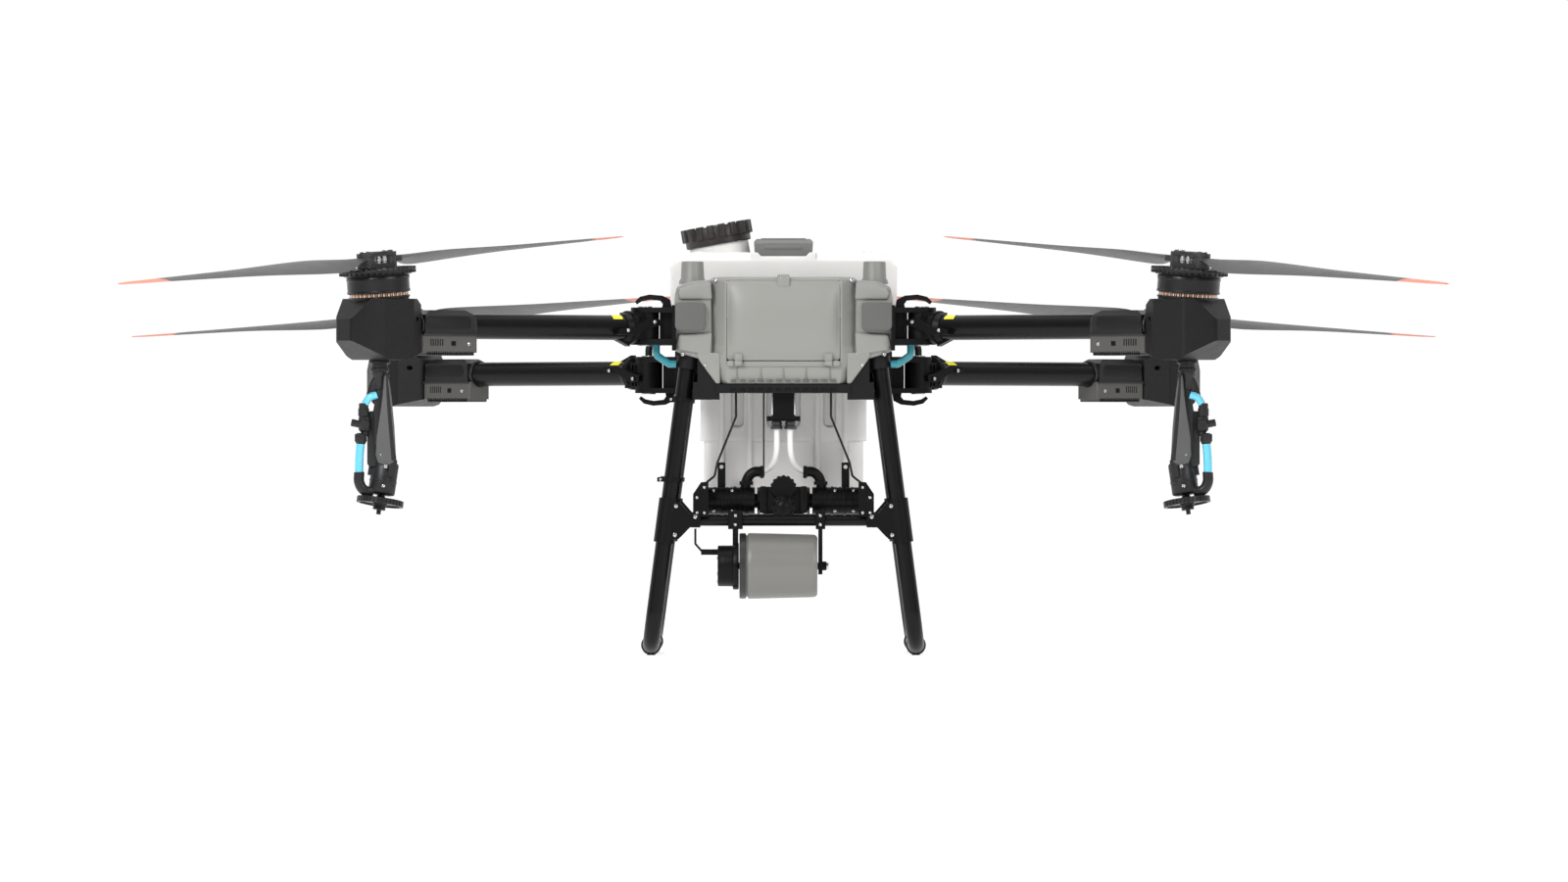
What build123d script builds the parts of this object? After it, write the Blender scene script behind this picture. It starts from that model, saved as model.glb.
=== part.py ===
from build123d import *
from math import atan2, cos, degrees, hypot, radians, sin
import os

os.makedirs("parts", exist_ok=True)

# Agricultural spray drone with four folding arms. Millimetres, +Z up.
# X runs left to right, -Y is the front face with the radar, Z = 0 is the ground.

# Shift along Y that brings the origin to the middle of the bounding box.
LENGTH_SHIFT = 17.7

# Driving dimensions of the four arms.
MOTOR_X = 702.5
FRONT_MOTOR_Y = -618.5
REAR_MOTOR_Y = 696.5
HINGE_X = 245.0
FRONT_HINGE_Y = -272.0
REAR_HINGE_Y = 286.6
FRONT_TUBE_Z = 580.0
REAR_TUBE_Z = 503.0
FRONT_MOTOR_RISE = 49.0
REAR_MOTOR_RISE = 41.0
FRONT_TILT = 4.5
REAR_TILT = 3.0
FRONT_BLADE_ANGLE = -46.5
REAR_BLADE_ANGLE = 37.0
TUBE_RADIUS = 22.0
TUBE_BORE = 20.0
TUBE_START = 33.0

# Hinge pins and running fits.
HINGE_PIN_RADIUS = 10.0
RUNNING_GAP = 0.05
PLATE_TOP = 36.0
PLATE_UPPER = 27.0
PLATE_LOWER = -20.0
PLATE_BOTTOM = -30.0
LEVER_PIVOT = -39.0
LEVER_HEIGHT = 45.0

# Rotor, measured from the motor mounting face.
BELL_RADIUS = 55.0
SHAFT_RADIUS = 6.0
COOLING_RADIUS = 67.0
BLADE_PIN_OFFSET = 27.0
BLADE_PIN_RADIUS = 5.0
BLADE_MID = 66.0
BLADE_HALF = 6.0
ROTOR_RADIUS = 635.0

# Body, tank and landing gear.
RAIL_INNER = 150.0
RAIL_OUTER = 190.0
RAIL_BOTTOM = 470.0
RAIL_TOP = 600.0
TANK_TOP = 716.0
TANK_BOTTOM = 262.0
TANK_FRONT = -140.0
TANK_REAR = 240.0
LEG_RADIUS = 15.0
SKID_X = 235.0
CROSSBAR_Z = 239.0
CROSSBAR_RADIUS = 9.25
FRONT_LEG_Y = -262.0
REAR_LEG_Y = 228.0


def rod(start, end, radius, bore=0.0):
    """Round bar or tube between two points."""
    first = Vector(*start)
    axis = Vector(*end) - first
    ring = Circle(radius)
    if bore > 0:
        ring = ring - Circle(bore)
    return extrude(Plane(origin=first, z_dir=axis) * ring, axis.length)


def block(x, y, z, edge=0.0, along=Axis.Z):
    """Box between three pairs of limits, with rounded edges along one axis."""
    centre = Pos((x[0] + x[1]) / 2, (y[0] + y[1]) / 2, (z[0] + z[1]) / 2)
    solid = centre * Box(x[1] - x[0], y[1] - y[0], z[1] - z[0])
    if edge > 0:
        solid = fillet(solid.edges().filter_by(along), edge)
    return solid


def from_front(points, y0, y1, edge=0.0):
    """Outline in X and Z, extruded from y0 to y1."""
    plane = Plane(origin=(0, (y0 + y1) / 2, 0), x_dir=(1, 0, 0), z_dir=(0, -1, 0))
    solid = extrude(plane * Polygon(*points, align=None), (y1 - y0) / 2, both=True)
    if edge > 0:
        solid = fillet(solid.edges().filter_by(Axis.Y), edge)
    return solid


def from_side(points, x0, x1, edge=0.0):
    """Outline in Y and Z, extruded from x0 to x1."""
    plane = Plane(origin=((x0 + x1) / 2, 0, 0), x_dir=(0, 1, 0), z_dir=(1, 0, 0))
    solid = extrude(plane * Polygon(*points, align=None), (x1 - x0) / 2, both=True)
    if edge > 0:
        solid = fillet(solid.edges().filter_by(Axis.X), edge)
    return solid


def from_above(points, z0, z1, edge=0.0):
    """Outline in X and Y, extruded from z0 to z1."""
    plane = Plane(origin=(0, 0, (z0 + z1) / 2), x_dir=(1, 0, 0), z_dir=(0, 0, 1))
    solid = extrude(plane * Polygon(*points, align=None), (z1 - z0) / 2, both=True)
    if edge > 0:
        solid = fillet(solid.edges().filter_by(Axis.Z), edge)
    return solid


def bent_tube(points, radius, bend, bore=0.0):
    """Tube or hose along a line of points with rounded corners."""
    path = FilletPolyline(*points, radius=bend)
    start = Plane(origin=path @ 0, z_dir=path % 0)
    tube = sweep(start * Circle(radius), path=path)
    if bore > 0:
        tube = tube - sweep(start * Circle(bore), path=path)
    return tube


def both_sides(shape):
    """The shape and its mirror image across the middle plane, in one compound."""
    return [shape, mirror(shape, about=Plane.YZ)]


def save(name, shapes):
    """Write one named piece, moved so the origin sits under the middle."""
    if not isinstance(shapes, list):
        shapes = [shapes]
    solids = []
    for shape in shapes:
        solids.extend(shape.solids())
    body = solids[0] if len(solids) == 1 else Compound(solids)
    export_step(Pos(0, LENGTH_SHIFT, 0) * body, f"parts/{name}.step")


# ---------------------------------------------------------------- folding arms
# Each arm is drawn along +X from its hinge, with Z = 0 at the tube centre,
# then turned and placed. The left arms are mirror images of the right arms.

def arm_tube(length):
    return rod((TUBE_START, 0, 0), (length - 20, 0, 0), TUBE_RADIUS, TUBE_BORE)


def arm_knuckle(side):
    """Hinge barrel, tube socket, collar and strut. side is +1 up or -1 down."""
    upper = PLATE_UPPER if side > 0 else -PLATE_LOWER
    lower = PLATE_LOWER if side > 0 else -PLATE_UPPER
    barrel = rod((0, 0, lower), (0, 0, upper), 25)
    web = block((0, 40), (-21, 21), (lower, upper))
    socket = rod((29.5, 0, 0), (42, 0, 0), 27)
    collar = rod((31, 0, 0), (40, 0, 0), 30)
    taper = loft([
        Plane(origin=(42, 0, 0), z_dir=(1, 0, 0)) * Circle(27),
        Plane(origin=(52, 0, 0), z_dir=(1, 0, 0)) * Circle(23.5),
    ])
    gusset = from_front([(38, -20 * side), (66, -21 * side), (38, -33 * side)], -7, 7)
    strut = from_front([
        (82, -12 * side), (80, -3 * side), (44, 1 * side), (16, 17 * side), (-6, 15 * side),
        (-8, 4 * side), (14, -1 * side), (44, -13 * side),
    ], -35, -18)
    body = barrel + web + socket + collar + taper + gusset + strut
    for bolt_x in (6, 64):
        bolt_z = 10 * side if bolt_x < 10 else -5 * side
        body = body + rod((bolt_x, -37, bolt_z), (bolt_x, -30, bolt_z), 4)
    body = body - rod((TUBE_START, 0, 0), (120, 0, 0), TUBE_RADIUS)
    return body - rod((0, 0, -60), (0, 0, 60), HINGE_PIN_RADIUS + RUNNING_GAP)


def latch_lever(side):
    """Hooked lever over the hinge, X measured from the hinge towards the arm."""
    outline = [
        (LEVER_PIVOT - 6, 40 * side), (LEVER_PIVOT - 6, 50 * side), (-31, 57 * side), (-8, 59 * side),
        (9, 55 * side), (18, 46 * side), (14, 41.5 * side), (6, 47 * side), (-9, 50 * side),
        (-27, 48 * side), (LEVER_PIVOT + 6, 40 * side),
    ]
    pivot_z = LEVER_HEIGHT * side
    lever = from_front(outline, -10, 10)
    lever = lever + rod((LEVER_PIVOT, -10, pivot_z), (LEVER_PIVOT, 10, pivot_z), 6.5)
    return lever - rod((LEVER_PIVOT, -12, pivot_z), (LEVER_PIVOT, 12, pivot_z), 3 + RUNNING_GAP)


def motor_pod(length, rise, tilt):
    """Faceted housing clamped on the tube end, with the fixed half of the motor."""
    top = rise - 2
    side_view = from_front([
        (-72, -46), (-24, -58), (-18, -59), (18, -59), (24, -56), (76, -26),
        (76, top - 36), (46, top), (-50, top), (-72, top - 12),
    ], -70, 70)
    plan_view = from_above([
        (-72, -27), (-34, -56), (30, -56), (76, -24), (76, 24), (30, 56), (-34, 56), (-72, 27),
    ], -70, 70, edge=12)
    shell = side_view & plan_view
    axis = Pos(0, 0, rise) * Rot(0, tilt, 0)
    seat = rod((0, 0, -14), (0, 0, 2), 52)
    core = rod((0, 0, 2), (0, 0, 27), 46)
    for step in range(12):
        core = core - Rot(0, 0, step * 30) * block((33, 50), (-3, 3), (4, 30))
    bearing = rod((0, 0, 2), (0, 0, 31), 14)
    motor = axis * (seat + core + bearing)
    bore = axis * rod((0, 0, -9), (0, 0, 40), SHAFT_RADIUS + RUNNING_GAP)
    pod = Pos(length, 0, 0) * (shell + motor - bore)
    sight_hole = rod((length - 52, -70, 12), (length - 52, 70, 12), 4.5)
    return pod - sight_hole - rod((TUBE_START, 0, 0), (length - 20, 0, 0), TUBE_RADIUS)


def esc_case(length):
    """Motor controller slung under the tube by a saddle, with cooling fins."""
    near = length - 192
    far = length - 72
    case = block((near, far), (-27, 27), (-46, -14), edge=6)
    saddle = from_front([
        (near + 6, -14), (far - 6, -14), (far - 8, 20), (far - 22, 28), (near + 22, 28), (near + 8, 20),
    ], -28, 28)
    saddle = chamfer(saddle.edges().filter_by(Axis.X).sort_by(Axis.Z)[-2:], 9)
    case = case + saddle
    for step in range(13):
        fin_x = near + 8 + step * 8.2
        case = case + block((fin_x, fin_x + 2.4), (-24, 24), (-51, -46))
    for step in range(6):
        slot_x = near + 74 + step * 5
        case = case - block((slot_x, slot_x + 3), (-29, -24), (-34, -22))
        case = case - block((slot_x, slot_x + 3), (24, 29), (-34, -22))
    return case - rod((0, 0, 0), (length, 0, 0), TUBE_RADIUS)


def rotor():
    """Motor bell, shaft, slotted cooling ring and the plates that hold the blades."""
    bell = rod((0, 0, 4), (0, 0, 38), BELL_RADIUS) - rod((0, 0, 4), (0, 0, 33), BELL_RADIUS - 5)
    shaft = rod((0, 0, -8), (0, 0, 38), SHAFT_RADIUS)
    cooling = rod((0, 0, 38), (0, 0, 50), COOLING_RADIUS)
    for step in range(24):
        slot = block((COOLING_RADIUS - 14, COOLING_RADIUS - 3), (-3, 3), (37, 51))
        cooling = cooling - Rot(0, 0, step * 15) * slot
    boss = rod((0, 0, 50), (0, 0, 78), 10)
    lower_plate = Pos(0, 0, 52) * extrude(SlotOverall(94, 40), BLADE_MID - BLADE_HALF - 0.1 - 52)
    pedestal = rod((0, 0, 50), (0, 0, 52), 30)
    upper_plate = Pos(0, 0, BLADE_MID + BLADE_HALF + 0.1) * extrude(SlotOverall(90, 36), 5)
    hub = bell + shaft + cooling + boss + pedestal + lower_plate + upper_plate
    for pin_x in (-BLADE_PIN_OFFSET, BLADE_PIN_OFFSET):
        hub = hub + rod((pin_x, 0, 55), (pin_x, 0, 78), BLADE_PIN_RADIUS)
        hub = hub + rod((pin_x, 0, 77), (pin_x, 0, 82), 7.5)
    return hub


def blade_section(station, chord, depth, twist, sweep_back):
    """Lens shaped section of the blade at one distance from the rotor axis."""
    front = (0.35 * chord, 0)
    back = (-0.65 * chord, 0)
    over = (-0.08 * chord, 0.65 * depth)
    under = (-0.15 * chord, -0.35 * depth)
    edge = ThreePointArc(front, over, back) + ThreePointArc(back, under, front)
    plane = Plane(origin=(station, sweep_back, BLADE_MID), x_dir=(0, 1, 0), z_dir=(1, 0, 0))
    return plane * Rot(0, 0, twist) * make_face(edge)


def blade():
    """One blade along +X with its bolt hole at the fold pin."""
    stations = [
        (36, 24, 8.5, 0, 0), (50, 30, 8.5, 2, 1), (66, 44, 9, 8, 2), (110, 84, 10, 14, 6), (165, 100, 9, 13, 6),
        (300, 84, 7, 9, 3), (450, 66, 5.5, 6, 0), (560, 50, 4, 4, -4), (612, 36, 3, 3, -11),
        (ROTOR_RADIUS, 14, 2, 2, -24),
    ]
    sections = [blade_section(*station) for station in stations]
    wing = loft(sections)
    low = BLADE_MID - BLADE_HALF
    high = BLADE_MID + BLADE_HALF
    root = rod((BLADE_PIN_OFFSET, 0, low), (BLADE_PIN_OFFSET, 0, high), 15)
    neck = block((BLADE_PIN_OFFSET, 52), (-10, 10), (low + 1, high - 1))
    hole = rod((BLADE_PIN_OFFSET, 0, low - 5), (BLADE_PIN_OFFSET, 0, high + 5),
               BLADE_PIN_RADIUS + RUNNING_GAP)
    return wing + root + neck - hole


# ---------------------------------------------------------------- spray lances
# The lances hang under the front motors and are drawn in the same arm frame.
LANCE_BODY_BACK = 13.0
DISC_BACK = 2.0
DISC_DROP = -306.0
DISC_TILT = 10.0
DISC_RADIUS = 41.0


def lance_axis(length):
    """Frame of the spinning disc, Z up along the tilted atomiser motor."""
    return Pos(length - DISC_BACK, 0, DISC_DROP) * Rot(0, -DISC_TILT, 0)


def spray_lance(length):
    """Collar, neck, housing, side plate and atomiser motor of one lance."""
    centre = length - LANCE_BODY_BACK
    collar = rod((length - 4, 0, -65), (length - 4, 0, -59), 18)
    neck = rod((length - 6, 0, -92), (length - 6, 0, -65), 13)
    rings = rod((length - 6, 0, -80), (length - 6, 0, -74), 16)
    housing = loft([
        Plane(origin=(length - 7, 0, -90)) * RectangleRounded(34, 30, 6),
        Plane(origin=(centre + 2, 0, -150)) * RectangleRounded(44, 38, 6),
        Plane(origin=(centre, 0, -231)) * RectangleRounded(50, 42, 6),
    ])
    plate = from_front([
        (centre - 12, -120), (centre + 10, -120), (centre + 17, -205), (centre + 14, -226),
        (centre + 4, -240), (centre - 6, -240), (centre - 14, -226),
    ], -24, -19)
    motor = rod((0, 0, 13), (0, 0, 62), 23)
    motor = motor + rod((0, 0, 55), (0, 0, 88), 18)
    for angle in (60, 240):
        clamp = Rot(0, 0, angle) * block((18, 26), (-8, 8), (44, 72))
        motor = motor + clamp
    motor = motor - rod((0, 0, 10), (0, 0, 40), 3 + RUNNING_GAP)
    screws = rod((centre, -26, -236), (centre, -18, -236), 2.5)
    return collar + neck + rings + housing + plate + screws + lance_axis(length) * motor


def lance_hose(length):
    """Feed hose with its valve and elbow on the outer side of the lance."""
    top = bent_tube([
        (length - 2, 0, -120), (length + 20, 0, -128), (length + 27, 0, -150),
    ], 5.5, 8)
    nut = rod((length + 27, 0, -160), (length + 27, 0, -148), 10)
    valve = block((length + 16, length + 40), (-11, 11), (-190, -160))
    lower_nut = rod((length + 33, 0, -204), (length + 33, 0, -190), 9)
    hose = rod((length + 33, 0, -262), (length + 33, 0, -204), 6.5)
    elbow = bent_tube([
        (length + 33, 0, -252), (length + 33, 0, -278), (length + 14, 0, -286),
    ], 9, 8)
    return top + nut + valve + lower_nut + hose + elbow


def nozzle_disc():
    """Toothed spinning disc and its shaft, drawn about its own axis."""
    disc = rod((0, 0, -5), (0, 0, 5), DISC_RADIUS)
    recess = rod((0, 0, -6), (0, 0, -2), DISC_RADIUS - 5, 13)
    hub = rod((0, 0, -14), (0, 0, -2), 11)
    tip = rod((0, 0, -22), (0, 0, -14), 4)
    boss = rod((0, 0, 4), (0, 0, 12), 7)
    shaft = rod((0, 0, 4), (0, 0, 36), 3)
    disc = disc - recess
    for step in range(36):
        tooth = block((DISC_RADIUS - 1.5, DISC_RADIUS + 1), (-1, 1), (-6, 6))
        disc = disc - Rot(0, 0, step * 10) * tooth
    return disc + hub + tip + boss + shaft


# ---------------------------------------------------------------- place the arms

for end in ("front", "rear"):
    is_front = end == "front"
    motor_y = FRONT_MOTOR_Y if is_front else REAR_MOTOR_Y
    hinge_y = FRONT_HINGE_Y if is_front else REAR_HINGE_Y
    tube_z = FRONT_TUBE_Z if is_front else REAR_TUBE_Z
    rise = FRONT_MOTOR_RISE if is_front else REAR_MOTOR_RISE
    tilt = FRONT_TILT if is_front else REAR_TILT
    blade_angle = FRONT_BLADE_ANGLE if is_front else REAR_BLADE_ANGLE
    lever_side = 1 if is_front else -1
    arm_length = hypot(MOTOR_X - HINGE_X, motor_y - hinge_y)
    arm_angle = degrees(atan2(motor_y - hinge_y, MOTOR_X - HINGE_X))
    place = Pos(HINGE_X, hinge_y, tube_z) * Rot(0, 0, arm_angle)
    rotor_place = place * Pos(arm_length, 0, rise) * Rot(0, tilt, 0)
    rotor_place = rotor_place * Rot(0, 0, blade_angle - arm_angle)
    pieces = {
        "arm_tube": place * arm_tube(arm_length),
        "arm_knuckle": place * arm_knuckle(lever_side),
        "latch_lever": Pos(HINGE_X, hinge_y, tube_z) * latch_lever(lever_side),
        "motor_pod": place * motor_pod(arm_length, rise, tilt),
        "esc_case": place * esc_case(arm_length),
        "rotor": rotor_place * rotor(),
        "blade_outer": rotor_place * blade(),
        "blade_inner": rotor_place * Rot(0, 0, 180) * blade(),
    }
    if is_front:
        disc_place = place * lance_axis(arm_length)
        hose = lance_hose(arm_length)
        pieces["spray_lance"] = place * (spray_lance(arm_length) - hose)
        pieces["lance_hose"] = place * hose
        pieces["nozzle_disc"] = disc_place * nozzle_disc()
    for piece_name, piece in pieces.items():
        save(f"{end}_right_{piece_name}", piece)
        save(f"{end}_left_{piece_name}", mirror(piece, about=Plane.YZ))


# ---------------------------------------------------------------- fuselage frame
BEAM_BOTTOM = 465.0
BEAM_TOP = 480.0
CROSS_BEAM_FRONT = -165.0
CROSS_BEAM_REAR = 243.0
SHELL_FRONT = -301.0
LEG_TOP = (168.0, 530.0)
LEG_FOOT = (SKID_X, 18.0)


def leg_point(z):
    """X of the sloping leg centre line at one height."""
    share = (LEG_TOP[1] - z) / (LEG_TOP[1] - LEG_FOOT[1])
    return LEG_TOP[0] + share * (LEG_FOOT[0] - LEG_TOP[0])


def leg_piece(y, top, bottom, radius):
    """Round piece on the leg centre line between two heights."""
    return rod((leg_point(top), y, top), (leg_point(bottom), y, bottom), radius)


skid = bent_tube([
    (LEG_TOP[0], FRONT_LEG_Y, LEG_TOP[1]), (LEG_FOOT[0], FRONT_LEG_Y, LEG_FOOT[1]),
    (LEG_FOOT[0], REAR_LEG_Y, LEG_FOOT[1]), (LEG_TOP[0], REAR_LEG_Y, LEG_TOP[1]),
], LEG_RADIUS, 60)

rail = block((RAIL_OUTER - 8, RAIL_OUTER), (-285, 300), (RAIL_BOTTOM, RAIL_TOP))
for rail_z in (RAIL_BOTTOM, RAIL_TOP - 8):
    rail = rail + block((RAIL_INNER, RAIL_OUTER), (-285, 300), (rail_z, rail_z + 8))
for web_y in (-285, -120, 40, 160, 292):
    rail = rail + block((RAIL_INNER, RAIL_OUTER), (web_y, web_y + 8), (RAIL_BOTTOM, RAIL_TOP))
for window_y in (-70, 0, 70, 140):
    window = block((RAIL_OUTER - 10, RAIL_OUTER + 2), (window_y - 25, window_y + 25), (495, 575))
    rail = rail - fillet(window.edges().filter_by(Axis.X), 12)
rail = rail - block((148, 192), (-290, -234), (465, 531))
end_block = block((113, 160), (-292, -240), (453, 484)) + block((113, 152), (-292, -285), (480, 527))
socket_front = leg_piece(FRONT_LEG_Y, 536, 508, 20) + block((150, 162), (-262, -232), (500, 540))
socket_rear = leg_piece(REAR_LEG_Y, 536, 472, 20)
rail = rail - skid
end_block = end_block - rail - skid
socket_front = socket_front - rail - end_block - skid
socket_rear = socket_rear - rail - skid
frame_side = [rail, end_block, socket_front, socket_rear]
cross_front = block((-RAIL_INNER, RAIL_INNER), (CROSS_BEAM_FRONT, -145), (RAIL_BOTTOM, RAIL_TOP))
cross_rear = block((-RAIL_INNER, RAIL_INNER), (CROSS_BEAM_REAR, 263), (RAIL_BOTTOM, RAIL_TOP))
tray = block((-118, 118), (-296, CROSS_BEAM_FRONT), (BEAM_BOTTOM, BEAM_TOP))
tray = tray - end_block - mirror(end_block, about=Plane.YZ)
for vent in range(12):
    vent_x = -88 + vent * 16
    tray = tray - block((vent_x - 5, vent_x + 5), (-300, -293), (468, 474))
bay = block((-75, 75), (-250, CROSS_BEAM_FRONT), (500, 620), edge=8)
frame_list = [cross_front, cross_rear, tray, bay]
for member in frame_side:
    frame_list.extend(both_sides(member))
frame = frame_list[0]
for member in frame_list[1:]:
    frame = frame + member
save("fuselage_frame", frame_list)
save("landing_skids", both_sides(skid))

# Rubber feet clamp round the skid and stand flat on the ground.
foot_list = []
for foot_y in (-180, 146):
    foot = block((SKID_X - 19, SKID_X + 19), (foot_y - 28, foot_y + 28), (0, 38), edge=6)
    foot_list.append(foot - skid)
save("skid_feet", foot_list + [mirror(foot, about=Plane.YZ) for foot in foot_list])

# Crossbars between the legs, with T clamps.
crossbar_list = []
clamp_list = []
for bar_y in (FRONT_LEG_Y, REAR_LEG_Y):
    reach = leg_point(CROSSBAR_Z)
    bar = rod((-reach, bar_y, CROSSBAR_Z), (reach, bar_y, CROSSBAR_Z), CROSSBAR_RADIUS)
    crossbar_list.append(bar - skid - mirror(skid, about=Plane.YZ))
    gusset = from_front([
        (reach + 8, 206), (reach - 20, 206), (166, 227), (147, 227), (147, 251), (166, 251),
        (reach - 22, 272), (reach, 272),
    ], bar_y - 16, bar_y + 16)
    clamp = leg_piece(bar_y, 278, 200, 19) + gusset
    for rivet_x, rivet_z in ((reach - 14, 214), (156, CROSSBAR_Z + 7), (reach - 16, 265)):
        clamp = clamp + rod((rivet_x, bar_y - 18, rivet_z), (rivet_x, bar_y + 18, rivet_z), 3.5)
    clamp = clamp - skid - bar
    clamp_list.extend(both_sides(clamp))
    for ring_z in (458, 316):
        ring = leg_piece(bar_y, ring_z, ring_z - 8, 17.5)
        tab_x = leg_point(ring_z - 4) + 14
        ring = ring + block((tab_x, tab_x + 13), (bar_y - 3, bar_y + 3), (ring_z - 8, ring_z))
        clamp_list.append(mirror(ring - skid, about=Plane.YZ))
save("crossbars", crossbar_list)
save("leg_clamps", clamp_list)

# ---------------------------------------------------------------- arm root brackets
bracket_list = []
pin_list = []
for hinge_y, tube_z, side in (
    (FRONT_HINGE_Y, FRONT_TUBE_Z, 1), (REAR_HINGE_Y, REAR_TUBE_Z, -1),
):
    flange_low = tube_z - PLATE_TOP - 4
    flange_high = tube_z + PLATE_TOP + 4
    flange = block((RAIL_OUTER, RAIL_OUTER + 7), (hinge_y - 36, hinge_y + 36), (flange_low, flange_high))
    bracket = flange
    for low, high in ((PLATE_UPPER, PLATE_TOP), (PLATE_BOTTOM, PLATE_LOWER)):
        heights = sorted((tube_z + side * low, tube_z + side * high))
        plate = rod((HINGE_X, hinge_y, heights[0]), (HINGE_X, hinge_y, heights[1]), 25)
        tongue = from_above([
            (RAIL_OUTER + 2, hinge_y - 34), (HINGE_X, hinge_y - 25),
            (HINGE_X, hinge_y + 25), (RAIL_OUTER + 2, hinge_y + 34),
        ], heights[0], heights[1])
        bracket = bracket + plate + tongue
    heights = sorted((tube_z + side * PLATE_BOTTOM, tube_z + side * PLATE_TOP))
    bracket = bracket + block((RAIL_OUTER, 211), (hinge_y - 10, hinge_y + 10), heights)
    bracket = bracket + block((210, HINGE_X - 26), (hinge_y - 6, hinge_y + 6), heights)
    for ear_y in (-17, 10.5):
        ear = from_front([
            (HINGE_X + LEVER_PIVOT - 9, tube_z + 34 * side), (HINGE_X + LEVER_PIVOT + 9, tube_z + 34 * side),
            (HINGE_X + LEVER_PIVOT + 6, tube_z + 50 * side), (HINGE_X + LEVER_PIVOT - 6, tube_z + 50 * side),
        ], hinge_y + ear_y, hinge_y + ear_y + 6.5)
        bracket = bracket + ear
    lever_pin_x = HINGE_X + LEVER_PIVOT
    lever_pin_z = tube_z + LEVER_HEIGHT * side
    lever_pin = rod((lever_pin_x, hinge_y - 17, lever_pin_z), (lever_pin_x, hinge_y + 17, lever_pin_z), 3)
    bracket = bracket + lever_pin
    pin_bottom = tube_z + side * PLATE_BOTTOM
    pin_top = tube_z + side * PLATE_TOP
    bracket = bracket - rod((HINGE_X, hinge_y, 400), (HINGE_X, hinge_y, 650), HINGE_PIN_RADIUS)
    pin = rod((HINGE_X, hinge_y, pin_bottom), (HINGE_X, hinge_y, pin_top), HINGE_PIN_RADIUS)
    pin = pin + rod((HINGE_X, hinge_y, pin_bottom - 2 * side), (HINGE_X, hinge_y, pin_bottom), 13)
    pin = pin + rod((HINGE_X, hinge_y, pin_top), (HINGE_X, hinge_y, pin_top + 2 * side), 13)
    pin = pin - rod((HINGE_X, hinge_y, 400), (HINGE_X, hinge_y, 650), 6.5)
    bracket_list.extend(both_sides(bracket))
    pin_list.extend(both_sides(pin))
front_cap = block((140, 190), (-305, -285), (577, 623))
front_cap = chamfer(front_cap.edges().filter_by(Axis.X).group_by(Axis.Y)[0], 8)
front_cap = front_cap - block((RAIL_OUTER - 40, RAIL_OUTER), (-285, -200), (RAIL_BOTTOM, RAIL_TOP))
save("arm_root_brackets", bracket_list + both_sides(front_cap - bracket_list[0]))
save("hinge_pins", pin_list)

# ---------------------------------------------------------------- front and rear shells
HATCH_HALF = 100.0
HATCH_LOW = 522.0
HATCH_HIGH = 664.0
HATCH_AXIS_Y = -306.0
HATCH_AXIS_Z = 517.0

shell_plan = [(-135, -166), (-135, -285), (-104, -301), (104, -301), (135, -285), (135, -166)]
inner_plan = [(-131, -160), (-131, -282.5), (-103, -297), (103, -297), (131, -282.5), (131, -160)]
shell_face = [(-135, 532), (-113, 480), (113, 480), (135, 532), (135, 660), (128, 667), (-128, 667), (-135, 660)]
inner_face = [(-131, 532), (-109, 484), (109, 484), (131, 532), (131, 658), (126, 663), (-126, 663), (-131, 658)]
front_shell = from_above(shell_plan, 470, 680) & from_front(shell_face, -320, -100)
hollow = from_above(inner_plan, 470, 680) & from_front(inner_face, -320, -100)
front_shell = front_shell - hollow
gap = 0.5
front_shell = front_shell - block(
    (-HATCH_HALF - gap, HATCH_HALF + gap), (-310, -290), (HATCH_LOW - gap, HATCH_HIGH + gap),
)
pod_outline = [(133, 601), (197, 601), (197, 640), (188, 665), (133, 665)]
shoulder = from_front(pod_outline, -296, -180)
brow = from_front([(133, 540), (182, 548), (188, 571), (188, 601), (133, 601)], -296, -285)
for knuckle_x in (-HATCH_HALF, HATCH_HALF - 13):
    start = (knuckle_x, HATCH_AXIS_Y, HATCH_AXIS_Z)
    front_shell = front_shell + rod(start, (knuckle_x + 13, HATCH_AXIS_Y, HATCH_AXIS_Z), 5)
    front_shell = front_shell + block((knuckle_x, knuckle_x + 13), (HATCH_AXIS_Y, -300), (512, 521))
for pin_start in (-HATCH_HALF, 70):
    pin_line = ((pin_start, HATCH_AXIS_Y, HATCH_AXIS_Z), (pin_start + 30, HATCH_AXIS_Y, HATCH_AXIS_Z))
    front_shell = front_shell + rod(pin_line[0], pin_line[1], 2.5)
side_parts = shoulder + brow - front_cap
front_shell = front_shell + side_parts + mirror(side_parts, about=Plane.YZ)
save("front_shell", front_shell - frame - bracket_list[0] - bracket_list[1])

hatch = block((-HATCH_HALF, HATCH_HALF), (-301, -296), (HATCH_LOW, HATCH_HIGH))
hatch = fillet(hatch.edges().filter_by(Axis.Y), 6)
hatch = hatch + block((-11, 11), (-304.5, -301), (653, 674), edge=1.5)
hatch = hatch - block((-84, 84), (-297.5, -290), (534, 652))
for knuckle_x in (-86.8, 72.8):
    start = (knuckle_x, HATCH_AXIS_Y, HATCH_AXIS_Z)
    hatch = hatch + rod(start, (knuckle_x + 14, HATCH_AXIS_Y, HATCH_AXIS_Z), 5)
    hatch = hatch + block((knuckle_x, knuckle_x + 14), (HATCH_AXIS_Y, -301), (HATCH_AXIS_Z, 532))
hatch_bore = rod((-110, HATCH_AXIS_Y, HATCH_AXIS_Z), (110, HATCH_AXIS_Y, HATCH_AXIS_Z), 2.5 + RUNNING_GAP)
save("access_hatch", hatch - hatch_bore)

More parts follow.
